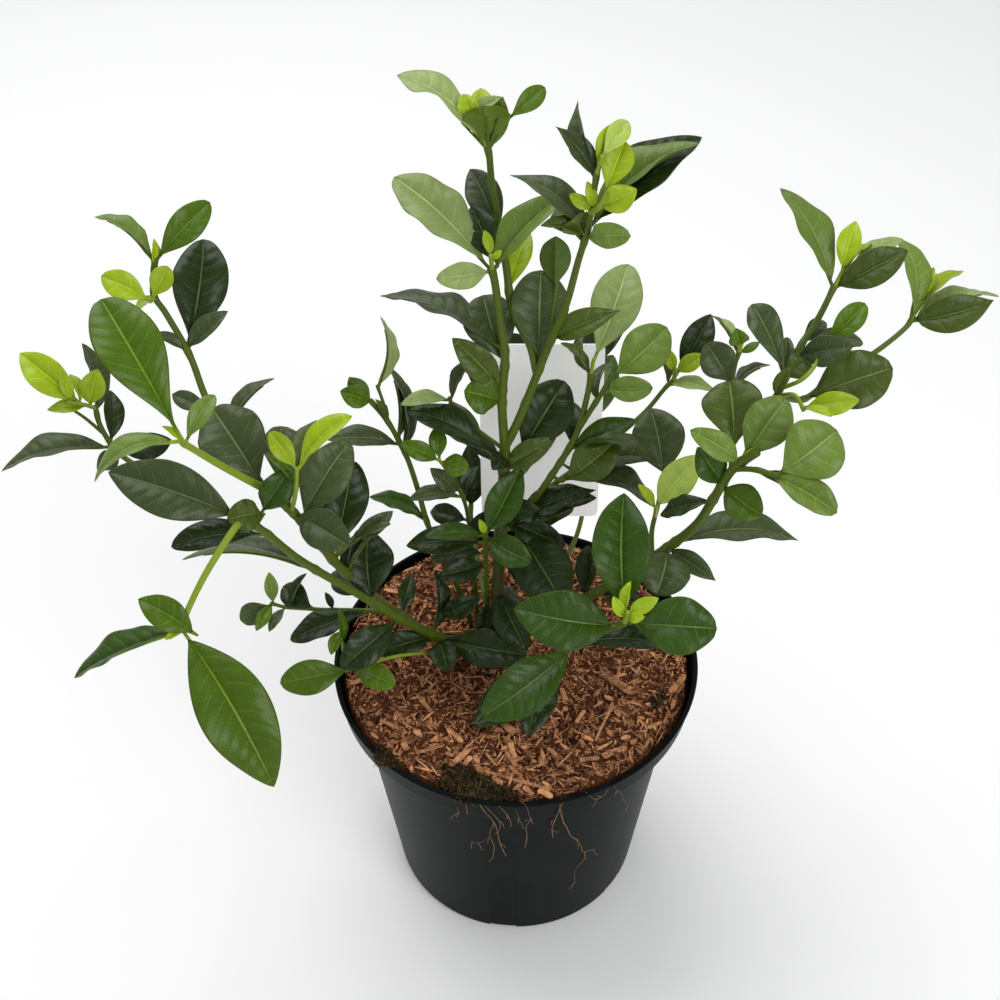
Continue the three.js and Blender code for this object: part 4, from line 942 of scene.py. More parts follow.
@dataclass(frozen=True)
class GrainFinish:
    """A rough natural or moulded surface in two colours.

    Args:
        name: name of the material.
        low: colour in the hollows.
        high: colour on the heights.
        rough: roughness.
        fineness: detail for each metre.
        relief: height of the grain in metres.
        dust: share of pale dust on top.
        dust_colour: its colour.
        shade: name of an attribute that runs from low to high, or an empty text.
        shine: strength of the mirror light.
        glow: painted light, an emission in the high colour that brightens the surface though it is no lamp,
            as a share.
        figure: how strongly the grain shows in the shade, as a share.
        fibre: the grain runs from low to high between these values.
        dust_rough: what the dust adds to the roughness.
        depth: strength of the relief.
    """

    name: str
    low: Colour
    high: Colour
    rough: float
    fineness: float
    relief: float
    dust: float = 0.0
    dust_colour: Colour = (150, 140, 120)
    shade: str = ""
    shine: float = 0.2
    glow: float = 0.0
    figure: float = 0.45
    fibre: Pair = (0.34, 0.66)
    dust_rough: float = 0.3
    depth: float = 0.8

    @cache
    def material(self) -> Material:
        """The material, made on first use."""
        material, nodes = new_material(self.name)
        inputs = {"Vector": nodes.place(), "Fineness": self.fineness}
        grain = nodes.add("ShaderNodeGroup", inputs, node_tree=grain_group()).outputs
        share = nodes.band(grain["Fibre"], *self.fibre)
        if self.shade:
            fibre = nodes.times(nodes.math("SUBTRACT", share, 0.5), self.figure)
            share = nodes.math("ADD", nodes.attribute(self.shade), fibre)
        worn = nodes.times(grain["Dust"], self.dust)
        grained = nodes.mix(linear(self.low), linear(self.high), share)
        nodes.shade(grain["Height"], (self.depth, self.relief), {
            "Base Color": nodes.mix(grained, linear(self.dust_colour), worn),
            "Roughness": nodes.scaled(worn, self.dust_rough, self.rough), "Specular IOR Level": self.shine,
            # painted light: the emission brightens the surface in its high colour though it is no lamp
            "Emission Color": linear(self.high), "Emission Strength": self.glow})
        return material


BARK = GrainFinish("bark", (76, 94, 8), (62, 56, 30), 0.5, 500.0, 0.2 * MM, shade="age", dust=0.15,
                   shine=0.3)
YOUNG_WOOD = GrainFinish("young_wood", (130, 150, 36), (96, 120, 14), 0.45, 500.0, 0.1 * MM, shade="age",
                         shine=0.3)
SOIL = GrainFinish("soil", (62, 35, 21), (122, 72, 44), 0.95, 320.0, 1.2 * MM, dust=0.2)
CHIP = GrainFinish("wood_chip", (80, 41, 22), (220, 158, 110), 0.85, 700.0, 0.4 * MM, shade="shade",
                   dust=0.1, figure=0.7)
MOSS = GrainFinish("moss", (30, 23, 12), (92, 76, 40), 0.9, 400.0, 0.3 * MM, shade="shade")
ROOT = GrainFinish("root", (66, 46, 30), (164, 128, 92), 0.8, 500.0, 0.2 * MM, shade="age")


def keep(piece: Thing, slot: Slot, *nodes: str) -> Thing:
    """Reports a finished piece to the frame.

    Args:
        piece: the object.
        slot: the record's slot; not used.
        nodes: the CAD nodes that it stands for.

    Returns:
        The piece.
    """
    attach(piece, BODY)
    if nodes:
        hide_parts(*nodes)
    LOG.info("%s: %d faces", piece.name, len(piece.data.polygons))
    return piece


def new_object(name: str, data: bpy.types.ID) -> Thing:
    """Links an object that holds a mesh, a lamp or a camera."""
    thing = bpy.data.objects.new(name, data)
    bpy.context.scene.collection.objects.link(thing)
    return thing


def mark(mesh: Mesh, name: str, values: Any, domain: str = "POINT") -> None:
    """Gives each point or face of a mesh a number."""
    mesh.attributes.new(name, "FLOAT", domain).data.foreach_set("value", np.asarray(values, np.float32))


def new_mesh(name: str, places: Any, faces: Faces, finish: GrainFinish | None = None,
             soft: bool = False, shades: Sequence[float] = ()) -> Mesh:
    """A mesh in one finish.

    Args:
        name: name of the mesh.
        places: rows of points in metres.
        faces: corners of each face.
        finish: its surface, if it is seen.
        soft: True where its faces are shaded smoothly.
        shades: 0 for dark to 1 for pale at each point, if its finish asks for it.

    Returns:
        The mesh.
    """
    mesh = bpy.data.meshes.new(name)
    mesh.from_pydata(np.asarray(places).tolist(), [], faces)
    mesh.polygons.foreach_set("use_smooth", [soft] * len(faces))
    if finish:
        mesh.materials.append(finish.material())
    if shades:
        mark(mesh, "shade", shades)
    return mesh


def sheet_faces(sheet: Array) -> Faces:
    """Four corners for each face of a grid of point numbers."""
    corners = np.stack([sheet[:-1, :-1], sheet[:-1, 1:], sheet[1:, 1:], sheet[1:, :-1]], axis=-1)
    return [tuple(face) for face in corners.reshape(-1, 4).tolist()]


def lens_faces(upper: Array, lower: Array) -> Faces:
    """The faces, outwards, of two grids of point numbers that share their border."""
    return sheet_faces(upper) + [face[::-1] for face in sheet_faces(lower)]


def ring_faces(rings: int, count: int, start: int = 0) -> Faces:
    """The faces, outwards, between rings of as many points, counted from the number of the first."""
    numbers = np.arange(rings * count).reshape(rings, count) + start
    return sheet_faces(np.hstack([numbers, numbers[:, :1]]))


def bodies_mesh(name: str, bodies: Sequence[Array], finish: GrainFinish | None = None,
                shades: Sequence[float] = ()) -> Mesh:
    """A mesh of closed bodies with flat ends.

    Args:
        name: name of the mesh.
        bodies: places of each body, by ring, point and axis.
        finish: their surface, if they are seen.
        shades: shade of each body, if their finish asks for it.

    Returns:
        The mesh.
    """
    faces: Faces = []
    start = 0
    for body in bodies:
        rings, count = body.shape[:2]
        end = start + rings * count
        faces += [*ring_faces(rings, count, start), tuple(reversed(range(start, start + count))),
                  tuple(range(end - count, end))]
        start = end
    points = [shade for body, shade in zip(bodies, shades) for _ in range(body.size // 3)]
    return new_mesh(name, np.vstack([body.reshape(-1, 3) for body in bodies]), faces, finish, shades=points)


def bake(thing: Thing, modifier: bpy.types.Modifier) -> None:
    """Keeps what a modifier makes of an object as its mesh.

    Args:
        thing: the object.
        modifier: its modifier, which is removed.
    """
    depsgraph = bpy.context.evaluated_depsgraph_get()
    made = bpy.data.meshes.new_from_object(thing.evaluated_get(depsgraph), depsgraph=depsgraph)
    thing.modifiers.remove(modifier)
    thing.data = made


def grow(thing: Thing, tree: Tree, values: dict[str, Any]) -> None:
    """Runs a Geometry Nodes tree on an object and keeps the result as its mesh.

    Args:
        thing: the object.
        tree: the tree.
        values: a value for each named input.
    """
    modifier = thing.modifiers.new(tree.name, "NODES")
    modifier.node_group = tree
    for item in tree.interface.items_tree:
        if item.in_out == "INPUT" and item.name in values:
            modifier[item.identifier] = values[item.name]
    bake(thing, modifier)


@cache
def tube_tree() -> Tree:
    """The tree that turns a mesh's loose lines into round tubes and keeps its faces."""
    nodes = new_group(
        "tubes", "GeometryNodeTree",
        {"Geometry": GEOMETRY, "Sides": INTEGER, "Skin": MATERIAL},
        {"Geometry": GEOMETRY},
    )
    given = nodes.given
    radius = nodes.add("GeometryNodeInputNamedAttribute", {"Name": "radius"}, data_type="FLOAT")
    is_line = nodes.math("GREATER_THAN", radius, 0.0)
    parts = nodes.add("GeometryNodeSeparateGeometry", {0: given["Geometry"], 1: is_line}, domain="POINT")
    ring = nodes.add("GeometryNodeCurvePrimitiveCircle", {"Resolution": given["Sides"], "Radius": 1.0})
    line = nodes.add("GeometryNodeMeshToCurve", {0: parts})
    tube = nodes.add("GeometryNodeCurveToMesh",
                     {"Curve": line, "Profile Curve": ring, "Scale": radius, "Fill Caps": True})
    soft = nodes.add("GeometryNodeSetShadeSmooth", {0: tube})
    skin = nodes.add("GeometryNodeSetMaterial", {0: soft, "Material": given["Skin"]})
    joined = nodes.add("GeometryNodeJoinGeometry", {0: skin})
    nodes.feed(joined.inputs[0], parts.outputs[1])
    return nodes.give(Geometry=nodes.add("GeometryNodeRealizeInstances", {0: joined}))


@dataclass
class SettledLeaf:
    """A leaf with its places in space, in metres."""

    base: Array
    tip: Array
    joint: Array
    seen: float
    tone: Tone
    arch: float
    fold: float
    wave: float
    under: bool
    outline: Outline
    slimness: float = 0.4


@dataclass
class MeshDraft:
    """Points, lines and faces that are gathered for one mesh.

    Args:
        points: places, radii, ages and places on the blade of the points of each part.
        edges: the ends of each line.
        faces: the corners of each face.
        looks: material, tint and side of each face, where 1 is the lower side.
        count: number of points so far.
    """

    points: list[tuple[Array, ...]] = field(default_factory=list)
    edges: list[tuple[int, int]] = field(default_factory=list)
    faces: Faces = field(default_factory=list)
    looks: list[tuple[int, float, float]] = field(default_factory=list)
    count: int = 0

    def _add(self, *columns: Array) -> int:
        """Adds points with their values, and returns the number of the first."""
        self.points.append(columns)
        self.count += len(columns[0])
        return self.count - len(columns[0])

    def line(self, places: Array, radius: Array, age: Array) -> None:
        """Adds a line that becomes a tube, with its ages from 0 for young wood to 1 for bark."""
        start = self._add(places, radius, age, np.zeros((len(places), 2)))
        self.edges += [(start + k, start + k + 1) for k in range(len(places) - 1)]

    def patch(self, places: Array, uv: Array, faces: Faces, slot: int, tint: float) -> None:
        """Adds a closed blade.

        Args:
            places: rows of points.
            uv: place of each point on the blade.
            faces: corners of each face, first the upper side and then as many of the lower side.
            slot: index of the material.
            tint: how much lighter or darker this leaf is, from -1 to 1.
        """
        zeros = np.zeros(len(places))
        start = self._add(places, zeros, zeros, uv)
        self.faces += [tuple(start + k for k in face) for face in faces]
        self.looks += [(slot, tint, float(2 * k >= len(faces))) for k in range(len(faces))]

    def mesh(self, name: str, materials: Sequence[Material]) -> Mesh:
        """The mesh with its attributes.

        Args:
            name: name of the mesh.
            materials: the materials that the slots point to.

        Returns:
            The mesh.
        """
        places, radius, age, uv = (np.concatenate(column) for column in zip(*self.points))
        mesh = bpy.data.meshes.new(name)
        mesh.from_pydata(places.tolist(), self.edges, self.faces)
        for material in materials:
            mesh.materials.append(material)
        mark(mesh, "radius", radius)
        mark(mesh, "age", age)
        if self.faces:
            slots, tints, sides = zip(*self.looks)
            mesh.polygons.foreach_set("material_index", slots)
            mesh.polygons.foreach_set("use_smooth", [True] * len(self.faces))
            mark(mesh, "tint", tints, "FACE")
            mark(mesh, "underside", sides, "FACE")
            corners = uv[np.concatenate(self.faces)].astype(np.float32)
            mesh.uv_layers.new(name="blade").data.foreach_set("uv", corners.ravel())
        return mesh


@dataclass
class BladeMaker:
    """Makes the closed thin mesh of a leaf blade, in metres."""

    stalk_share: float = 0.07
    widest: float = 40 * MM
    vein_spacing: float = 8 * MM
    thickness: float = 0.5 * MM
    rib_depth: float = 0.5 * MM
    quilting: float = 0.6 * MM
    vein_sweep: float = 0.19
    vein_count: tuple[int, int] = (4, 11)
    puff: float = 0.1
    quilted_width: float = 24 * MM
    rib_width: float = 0.09
    groove_depth: float = 0.4 * MM
    groove_width: float = 0.07
    tip_flattening: float = 0.35
    bend: Pair = (-0.04, 0.04)
    curl: Pair = (-0.02, 0.07)
    twist: Pair = (-0.3, 0.3)
    beats: Pair = (2.0, 3.6)
    rippling: Pair = (0.03, 0.11)
    steepest_turn: float = 1.35
    inward_pull: float = 0.3
    stalk_radius: float = 0.9 * MM
    stalk_slimness: float = 0.07
    stalk_fade: Pair = (1.1, 0.25)
    rib_reach: float = 0.85
    small_width: float = 9 * MM
    broad_columns: tuple[float, ...] = (0.06, 0.18, 0.36, 0.56, 0.76, 0.93, 1.0)
    slim_columns: tuple[float, ...] = (0.15, 0.5, 0.9, 1.0)

    def facing(self, leaf: SettledLeaf, axis: Array, width: float) -> Array:
        """The direction of the upper side, turned about the rib until the seen width shows.

        Args:
            leaf: the leaf.
            axis: direction from base to tip.
            width: width of the blade.

        Returns:
            A direction of length one.
        """
        middle = (leaf.base + leaf.tip) / 2
        towards = unit(SURVEY.eye - middle)
        towards = unit(towards - axis * np.dot(towards, axis))
        turn = min(math.acos(min(1.0, leaf.seen / width)), self.steepest_turn)
        pull = -np.sign(middle[0]) * self.inward_pull
        options = [turned(towards, axis, angle) for angle in (turn, -turn)]
        chosen = max(options, key=lambda option: option[2] + pull * option[0])
        return -chosen if leaf.under else chosen

    def add(self, draft: MeshDraft, leaf: SettledLeaf, slot: int, seed: str) -> None:
        """Adds a blade with its stalk to a draft.

        Args:
            draft: the mesh to add to.
            leaf: the leaf.
            slot: index of its material.
            seed: text that fixes its small differences.
        """
        draw = random.Random(seed)
        span = leaf.tip - leaf.base
        length = float(np.linalg.norm(span))
        axis = span / length
        width = max(leaf.seen, min(leaf.slimness * length, self.widest))
        normal = self.facing(leaf, axis, width)
        side = unit(np.cross(axis, normal))
        small = width < self.small_width
        columns = self.slim_columns if small else self.broad_columns
        t = np.array([[*(-x for x in reversed(columns)), 0.0, *columns]])
        veins = int(np.clip(round(length / self.vein_spacing), *self.vein_count))
        r = np.linspace(0, 1, veins * (2 if small else 4) + 1)[1:-1, None]
        reach = np.abs(t)
        share = np.clip(r + self.vein_sweep * np.sin(np.pi * r) * reach ** 1.4 * (1 - r) ** 0.3, 0, 0.999)
        power, at_base, at_tip = leaf.outline.value
        half = np.sin(np.pi * share ** power) ** (at_base + (at_tip - at_base) * share) * width / 2
        s = self.stalk_share + (1 - self.stalk_share) * share

        bend, curl, twist = (draw.uniform(*limits) for limits in (self.bend, self.curl, self.twist))
        rise = 4 * leaf.arch * s * (1 - s) - curl * (s ** 3 - s)
        slope = 4 * leaf.arch * (1 - 2 * s) - curl * (3 * s ** 2 - 1)
        drift, drift_slope = 4 * bend * s * (1 - s), 4 * bend * (1 - 2 * s)
        centre = leaf.base + span * s[..., None]
        centre = centre + length * (normal * rise[..., None] + side * drift[..., None])
        tangent = unit(axis + normal * slope[..., None] + side * drift_slope[..., None])
        lift = unit(normal - tangent * (tangent @ normal)[..., None])
        spin = (twist * (s - 0.5))[..., None]
        lift = lift * np.cos(spin) + np.cross(tangent, lift) * np.sin(spin)
        outward = np.cross(tangent, lift)

        fold = math.radians(leaf.fold) * (1 - self.tip_flattening * smooth(s, 0.6, 1.0))
        phases = [draw.uniform(0, 2 * math.pi) for _ in range(4)]
        beats = [draw.uniform(*self.beats) for _ in range(2)]
        ripples = [np.sin(2 * np.pi * beat * s + phase) for beat, phase in zip(beats, phases)]
        wave = leaf.wave * half * np.sin(3 * np.pi * s) * np.sign(t) * reach ** 2
        wave = wave + draw.uniform(*self.rippling) * half * np.where(t > 0, *ripples) * reach ** 2.5
        between = np.abs(np.sin(np.pi * (r * veins + 0.5))) ** 0.7
        quilting = self.quilting * min(1.0, width / self.quilted_width)
        quilt = quilting * (between - 0.6) * np.sin(np.pi * reach ** 0.8) ** 0.8
        dome = self.puff * half * np.sin(np.pi * reach)
        groove = -min(self.groove_depth, 0.02 * width) * np.exp(-((t / self.groove_width) ** 2))
        groove = groove * (1 - 0.6 * r)
        height = half * reach * np.sin(fold) + dome + wave + quilt + groove
        top = centre + outward * (half * t * np.cos(fold))[..., None] + lift * height[..., None]
        thick = self.thickness * (1 - reach ** 6) * (0.6 + 0.4 * np.sin(np.pi * share))
        thick = thick + self.rib_depth * np.exp(-((t / self.rib_width) ** 2)) * (1 - r)
        bottom = top - lift * thick[..., None]

        start = leaf.base + span * self.stalk_share + normal * length * 4 * leaf.arch * self.stalk_share
        uv = np.stack(np.broadcast_arrays((t + 1) / 2, r * veins), axis=-1)
        self._stitch(draft, (top, bottom, uv), (start, leaf.tip), veins, slot, draw.uniform(-1, 1))
        middle = len(columns)
        self._stalk(draft, leaf, bottom[:, middle], lift[:, middle], width)

    @staticmethod
    def _stitch(draft: MeshDraft, grids: tuple[Array, Array, Array], poles: tuple[Array, Array],
                veins: int, slot: int, tint: float) -> None:
        """Joins the two sides of a blade at its margins and ends.

        Args:
            draft: the mesh to add to.
            grids: points of the upper side, points of the lower side, and their places on the blade.
            poles: the blade's base and tip.
            veins: number of side veins.
            slot: index of the material.
            tint: how much lighter or darker this leaf is.
        """
        top, bottom, uv = grids
        rows, columns = top.shape[:2]
        upper = np.arange(rows * columns).reshape(rows, columns)
        inner = np.arange(rows * (columns - 2)).reshape(rows, columns - 2) + upper.size
        lower = np.hstack([upper[:, :1], inner, upper[:, -1:]])
        base = np.full((1, columns), upper.size + inner.size)
        faces = [tuple(dict.fromkeys(face)) for face in lens_faces(
            *(np.vstack([base, sheet, base + 1]) for sheet in (upper, lower)))]
        places = np.vstack([top.reshape(-1, 3), bottom[:, 1:-1].reshape(-1, 3), *poles])
        all_uv = np.vstack([uv.reshape(-1, 2), uv[:, 1:-1].reshape(-1, 2), [[0.5, 0.0], [0.5, veins]]])
        draft.patch(places, all_uv, faces, slot, tint)

    def _stalk(self, draft: MeshDraft, leaf: SettledLeaf, below: Array, lift: Array, width: float) -> None:
        """Adds the stalk, which runs on as the raised rib of the lower side.

        Args:
            draft: the mesh to add to.
            leaf: the leaf.
            below: the middle line of the blade's lower side.
            lift: the upward direction along it.
            width: width of the blade.
        """
        radius = min(self.stalk_radius, self.stalk_slimness * width)
        rib = (below - lift * 0.3 * radius)[:int(len(below) * self.rib_reach)]
        head = [leaf.joint] if np.linalg.norm(leaf.joint - leaf.base) < 0.5 * MM else [leaf.joint, leaf.base]
        places = np.vstack([*head, rib[1:]])
        fade = np.linspace(*self.stalk_fade, len(places))
        draft.line(places, radius * fade, np.zeros(len(places)))


@dataclass
class Shrub:
    """The gardenia: its stems and leaves, one piece for each leafy stem."""

    shoots: tuple[Shoot, ...]
    back_shoots: tuple[BackShoot, ...]
    root_depth: float = 26 * MM
    longest_snap: float = 4 * MM
    pair_spacing: float = 60 * MM
    bare_foot: float = 0.3
    swelling: float = 0.2
    knot: float = 2.6 * MM
    sides: int = 12
    woody: Pair = (2.4 * MM, 4.2 * MM)
    young: tuple[Slot, ...] = (Slot.BRIGHT, Slot.LIME, Slot.PALE)
    blades: BladeMaker = field(default_factory=BladeMaker)
    courses: dict[str, list[Course]] = field(default_factory=dict)

    def settle_stems(self, shoot: Shoot) -> list[Course]:
        """The courses of a shoot's stems: the first starts on its carrier, the others on earlier ones.

        Args:
            shoot: the shoot.

        Returns:
            A course for each stem.
        """
        settled: list[Course] = []
        for number, stem in enumerate(shoot.stems):
            points = [SURVEY.at_depth(u, v, y * MM) for u, v, y in stem.points]
            if stem.rooted:
                points.insert(0, points[0] - self.root_depth * UP)
            carriers = settled if number else self.courses.get(shoot.carrier or "", [])
            if carriers:
                points[0] = nearest(carriers, points[0])
            settled.append(Course(points))
        return settled

    def settle_leaf(self, leaf: Leaf, courses: list[Course]) -> SettledLeaf:
        """A leaf on its stem, with its tip as far from the eye as its base, or nearer.

        Args:
            leaf: the leaf as surveyed.
            courses: the stems that may carry it.

        Returns:
            The leaf in space.
        """
        joint = nearest(courses, np.array([leaf.u, leaf.v]), SURVEY.picture_of)
        marked = SURVEY.beside(leaf.u, leaf.v, joint, 0.0)
        base = marked if np.linalg.norm(marked - joint) > self.longest_snap else joint
        tip = SURVEY.beside(leaf.tip_u, leaf.tip_v, base, leaf.near * MM)
        return SettledLeaf(base, tip, joint, leaf.seen * MM, leaf.tone, leaf.arch, leaf.fold, leaf.wave,
                           leaf.under, leaf.outline)

    def paired_leaves(self, shoot: BackShoot, course: Course) -> list[SettledLeaf]:
        """Leaves in opposite pairs that turn away from the card.

        Args:
            shoot: the shoot of the hidden side.
            course: its stem.

        Returns:
            The leaves in space.
        """
        state, factor, modulus = shoot.seed, 7 ** 5, 2 ** 31 - 1

        def chance() -> float:
            """A repeatable random number between 0 and 1."""
            nonlocal state
            state = state * factor % modulus
            return state / modulus

        leaves = []
        pairs = round(course.length / self.pair_spacing)
        for pair in range(1, pairs + 1):
            share = self.bare_foot + (1 - self.bare_foot) * pair / pairs
            joint, ahead = course.at(share), course.ahead(share)
            across = turned(unit(np.cross(UP, ahead)), ahead, (pair % 2) * math.pi / 2 + 0.5 * chance())
            for hand in (-1, 1):
                reach = shoot.leaf_length * MM * (0.85 + 0.3 * chance())
                way = unit(across * hand + ahead * 0.55)
                way[1] = abs(way[1])
                leaves.append(SettledLeaf(
                    joint, joint + way * reach, joint, shoot.slimness * reach, shoot.tones[pair % 2],
                    arch=0.12, fold=14.0, wave=0.05, under=False, outline=ELLIPSE, slimness=shoot.slimness))
        return leaves

    def swollen(self, course: Course, radius: Array, joints: list[Array]) -> Array:
        """The radius along a stem, swollen where leaves join.

        Args:
            course: the stem.
            radius: its plain radius at each sample.
            joints: places of the leaf joints.

        Returns:
            One value for each sample.
        """
        knots = np.zeros(course.count)
        for joint in joints:
            off = np.linalg.norm(course.places - joint, axis=1)
            knots = np.maximum(knots, np.exp(-((off / self.knot) ** 2)))
        return radius * (1 + self.swelling * knots)

    def piece(self, name: str, slot: Slot, stems: list[tuple[Course, float, float]],
              leaves: list[SettledLeaf]) -> Thing:
        """Builds and dresses a leafy stem.

        Args:
            name: name of the CAD node that it stands for.
            slot: the record's slot.
            stems: course, foot radius and taper of each stem.
            leaves: the leaves in space.

        Returns:
            The piece.
        """
        draft = MeshDraft()
        joints = [leaf.joint for leaf in leaves]
        for course, foot, taper in stems:
            plain = foot * np.linspace(1, taper, course.count)
            draft.line(course.places, self.swollen(course, plain, joints), smooth(plain, *self.woody))
        tones = sorted({leaf.tone for leaf in leaves}, key=lambda tone: tone.name)
        for number, leaf in enumerate(leaves):
            self.blades.add(draft, leaf, tones.index(leaf.tone), f"{name} {number}")
        materials = [LeafFinish(tone).material() for tone in tones]
        thing = new_object(f"{name}_foliage", draft.mesh(name, materials))
        wood = YOUNG_WOOD if slot in self.young else BARK
        grow(thing, tube_tree(), {"Sides": self.sides, "Skin": wood.material()})
        return keep(thing, slot, name)

    def build(self) -> None:
        """Builds every shoot, each after the one that carries it."""
        for shoot in self.shoots:
            courses = self.settle_stems(shoot)
            self.courses[shoot.name] = courses
            leaves = [self.settle_leaf(leaf, courses) for leaf in shoot.leaves]
            stems = [(course, stem.radius * MM, stem.taper) for course, stem in zip(courses, shoot.stems)]
            self.piece(shoot.name, shoot.slot, stems, leaves)
        for shoot in self.back_shoots:
            points = [np.array(point) * MM for point in shoot.points]
            leaves = self.paired_leaves(shoot, Course(points))
            points[0] = nearest(self.courses[shoot.carrier], points[0])
            self.piece(shoot.name, shoot.slot, [(Course(points), shoot.radius * MM, shoot.taper)], leaves)


def turned_mesh(name: str, profile: Sequence[Pair], segments: int, finish: GrainFinish,
                raised: Callable[[Array], Array] = np.asarray) -> Mesh:
    """A closed body turned about the pot's axis.

    Args:
        name: name of the mesh.
        profile: radius and height of each ring in millimetres, from the lower pole round to the upper.
        segments: points in each ring.
        finish: its surface.
        raised: changes the rows of places.

    Returns:
        The mesh.
    """
    angles = np.linspace(0, 2 * math.pi, segments, endpoint=False)
    rings = [np.column_stack([r * np.cos(angles), r * np.sin(angles), np.full(segments, z)])
             for r, z in profile[1:-1]]
    poles = [np.array([[0.0, 0.0, profile[end][1]]]) for end in (0, -1)]
    places = raised(np.vstack([poles[0], *rings, poles[1]]) * MM)
    faces = ring_faces(len(rings), segments, 1)
    last = len(places) - 1
    for j in range(segments):
        k = (j + 1) % segments
        faces += [(0, 1 + k, 1 + j), (last - segments + j, last - segments + k, last)]
    return new_mesh(name, places, faces, finish, soft=True)


def rounded(corners: Sequence[Triple], steps: int = 5) -> list[Pair]:
    """A line with its corners rounded.

    Args:
        corners: two coordinates and the rounding distance of each corner.
        steps: number of points on each rounding.

    Returns:
        The points of the line.
    """
    line = []
    for number, (x, y, reach) in enumerate(corners):
        here = np.array([x, y])
        if reach == 0 or number in (0, len(corners) - 1):
            line.append((x, y))
            continue
        ends = []
        for other in (corners[number - 1], corners[number + 1]):
            way = np.array(other[:2]) - here
            distance = float(np.linalg.norm(way))
            ends.append(here + way / distance * min(reach, 0.45 * distance))
        for t in np.linspace(0, 1, steps):
            point = ends[0] * (1 - t) ** 2 + here * 2 * t * (1 - t) + ends[1] * t ** 2
            line.append((float(point[0]), float(point[1])))
    return line


PLASTIC = GrainFinish("pot_plastic", (7, 11, 12), (13, 18, 19), 0.4, 90.0, 0.05 * MM,
                      dust=0.04, dust_colour=(92, 90, 82), shine=0.04)
# the card's emission is painted light that brightens it where the foliage shades it
CARD = GrainFinish("card_plastic", (246, 246, 244), (250, 250, 248), 0.4, 40.0, 0.02 * MM,
                   shine=0.4, glow=0.2)


@dataclass(frozen=True)
class Pot:
    """The black nursery pot: a tapered thin wall with a stepped collar, a rolled lip and drain slots."""

    rim_radius: float = 115.0
    height: float = 188.0
    base_radius: float = 83.0
    neck_radius: float = 102.0
    collar_radius: float = 112.0
    collar_height: float = 19.0
    ledge_rise: float = 1.5
    wall: float = 1.6
    floor: float = 3.0
    drain_count: int = 6
    drain_length: float = 10.0
    drain_width: float = 18.0
    drain_height: float = 5.0
    drain_turn: float = math.radians(-6)
    sharp: float = math.radians(35)
    segments: int = 144

    @property
    def collar_foot(self) -> float:
        """Height of the collar's lower edge."""
        return self.height - self.collar_height

    @property
    def ledge(self) -> float:
        """Height at which the collar's step meets its wall."""
        return self.collar_foot + self.ledge_rise

    def wall_radius(self, height: Any) -> Any:
        """Outer radius of the tapered wall at a height, in millimetres."""
        share = (height - self.floor) / (self.collar_foot - self.floor)
        return self.base_radius + (self.neck_radius - self.base_radius) * share

    def profile(self) -> list[Pair]:
        """The outline from the middle of the underside round the wall to the middle of the floor."""
        foot = self.collar_foot
        return rounded([
            (0, 0, 0), (self.base_radius - 2, 0, 1.0), (self.base_radius, self.floor, 1.5),
            (self.neck_radius, foot, 1.5), (self.collar_radius - 2, foot, 0.6),
            (self.collar_radius, self.ledge, 1.2), (self.rim_radius - 1.2, self.height - 3, 0.3),
            (self.rim_radius, self.height - 1.6, 0.6), (self.rim_radius - 0.6, self.height, 0.6),
            (self.collar_radius, self.height, 0.8), (self.collar_radius - 2.2, foot + 3.1, 1.5),
            (self.neck_radius - self.wall, self.ledge, 1.0),
            (self.base_radius - self.wall, self.floor, 1.0), (0, self.floor, 0),
        ])

    def cutters(self) -> Thing:
        """The blocks that cut the drain slots out of the foot."""
        bodies = []
        for slot in range(self.drain_count):
            angle = (slot + 0.5) / self.drain_count * 2 * math.pi + self.drain_turn
            out = np.array([math.cos(angle), math.sin(angle), 0.0])
            side = np.cross(UP, out)
            bodies.append(np.array([
                [out * (self.base_radius + self.drain_length * a) + side * self.drain_width * b + UP * z
                 for a, b in ((-0.5, -0.5), (0.5, -0.5), (0.5, 0.5), (-0.5, 0.5))]
                for z in (-self.drain_height, self.drain_height)]) * MM)
        return new_object("drain_slots", bodies_mesh("drain_slots", bodies))

    def build(self) -> None:
        """Builds and dresses the pot."""
        mesh = turned_mesh("nursery_pot", self.profile(), self.segments, PLASTIC)
        thing = new_object("nursery_pot", mesh)
        cutters = self.cutters()
        modifier = thing.modifiers.new("drain", "BOOLEAN")
        modifier.object = cutters
        modifier.solver = "EXACT"
        bake(thing, modifier)
        bpy.data.objects.remove(cutters)
        thing.data.set_sharp_from_angle(angle=self.sharp)
        keep(thing, Slot.POT, "pot")


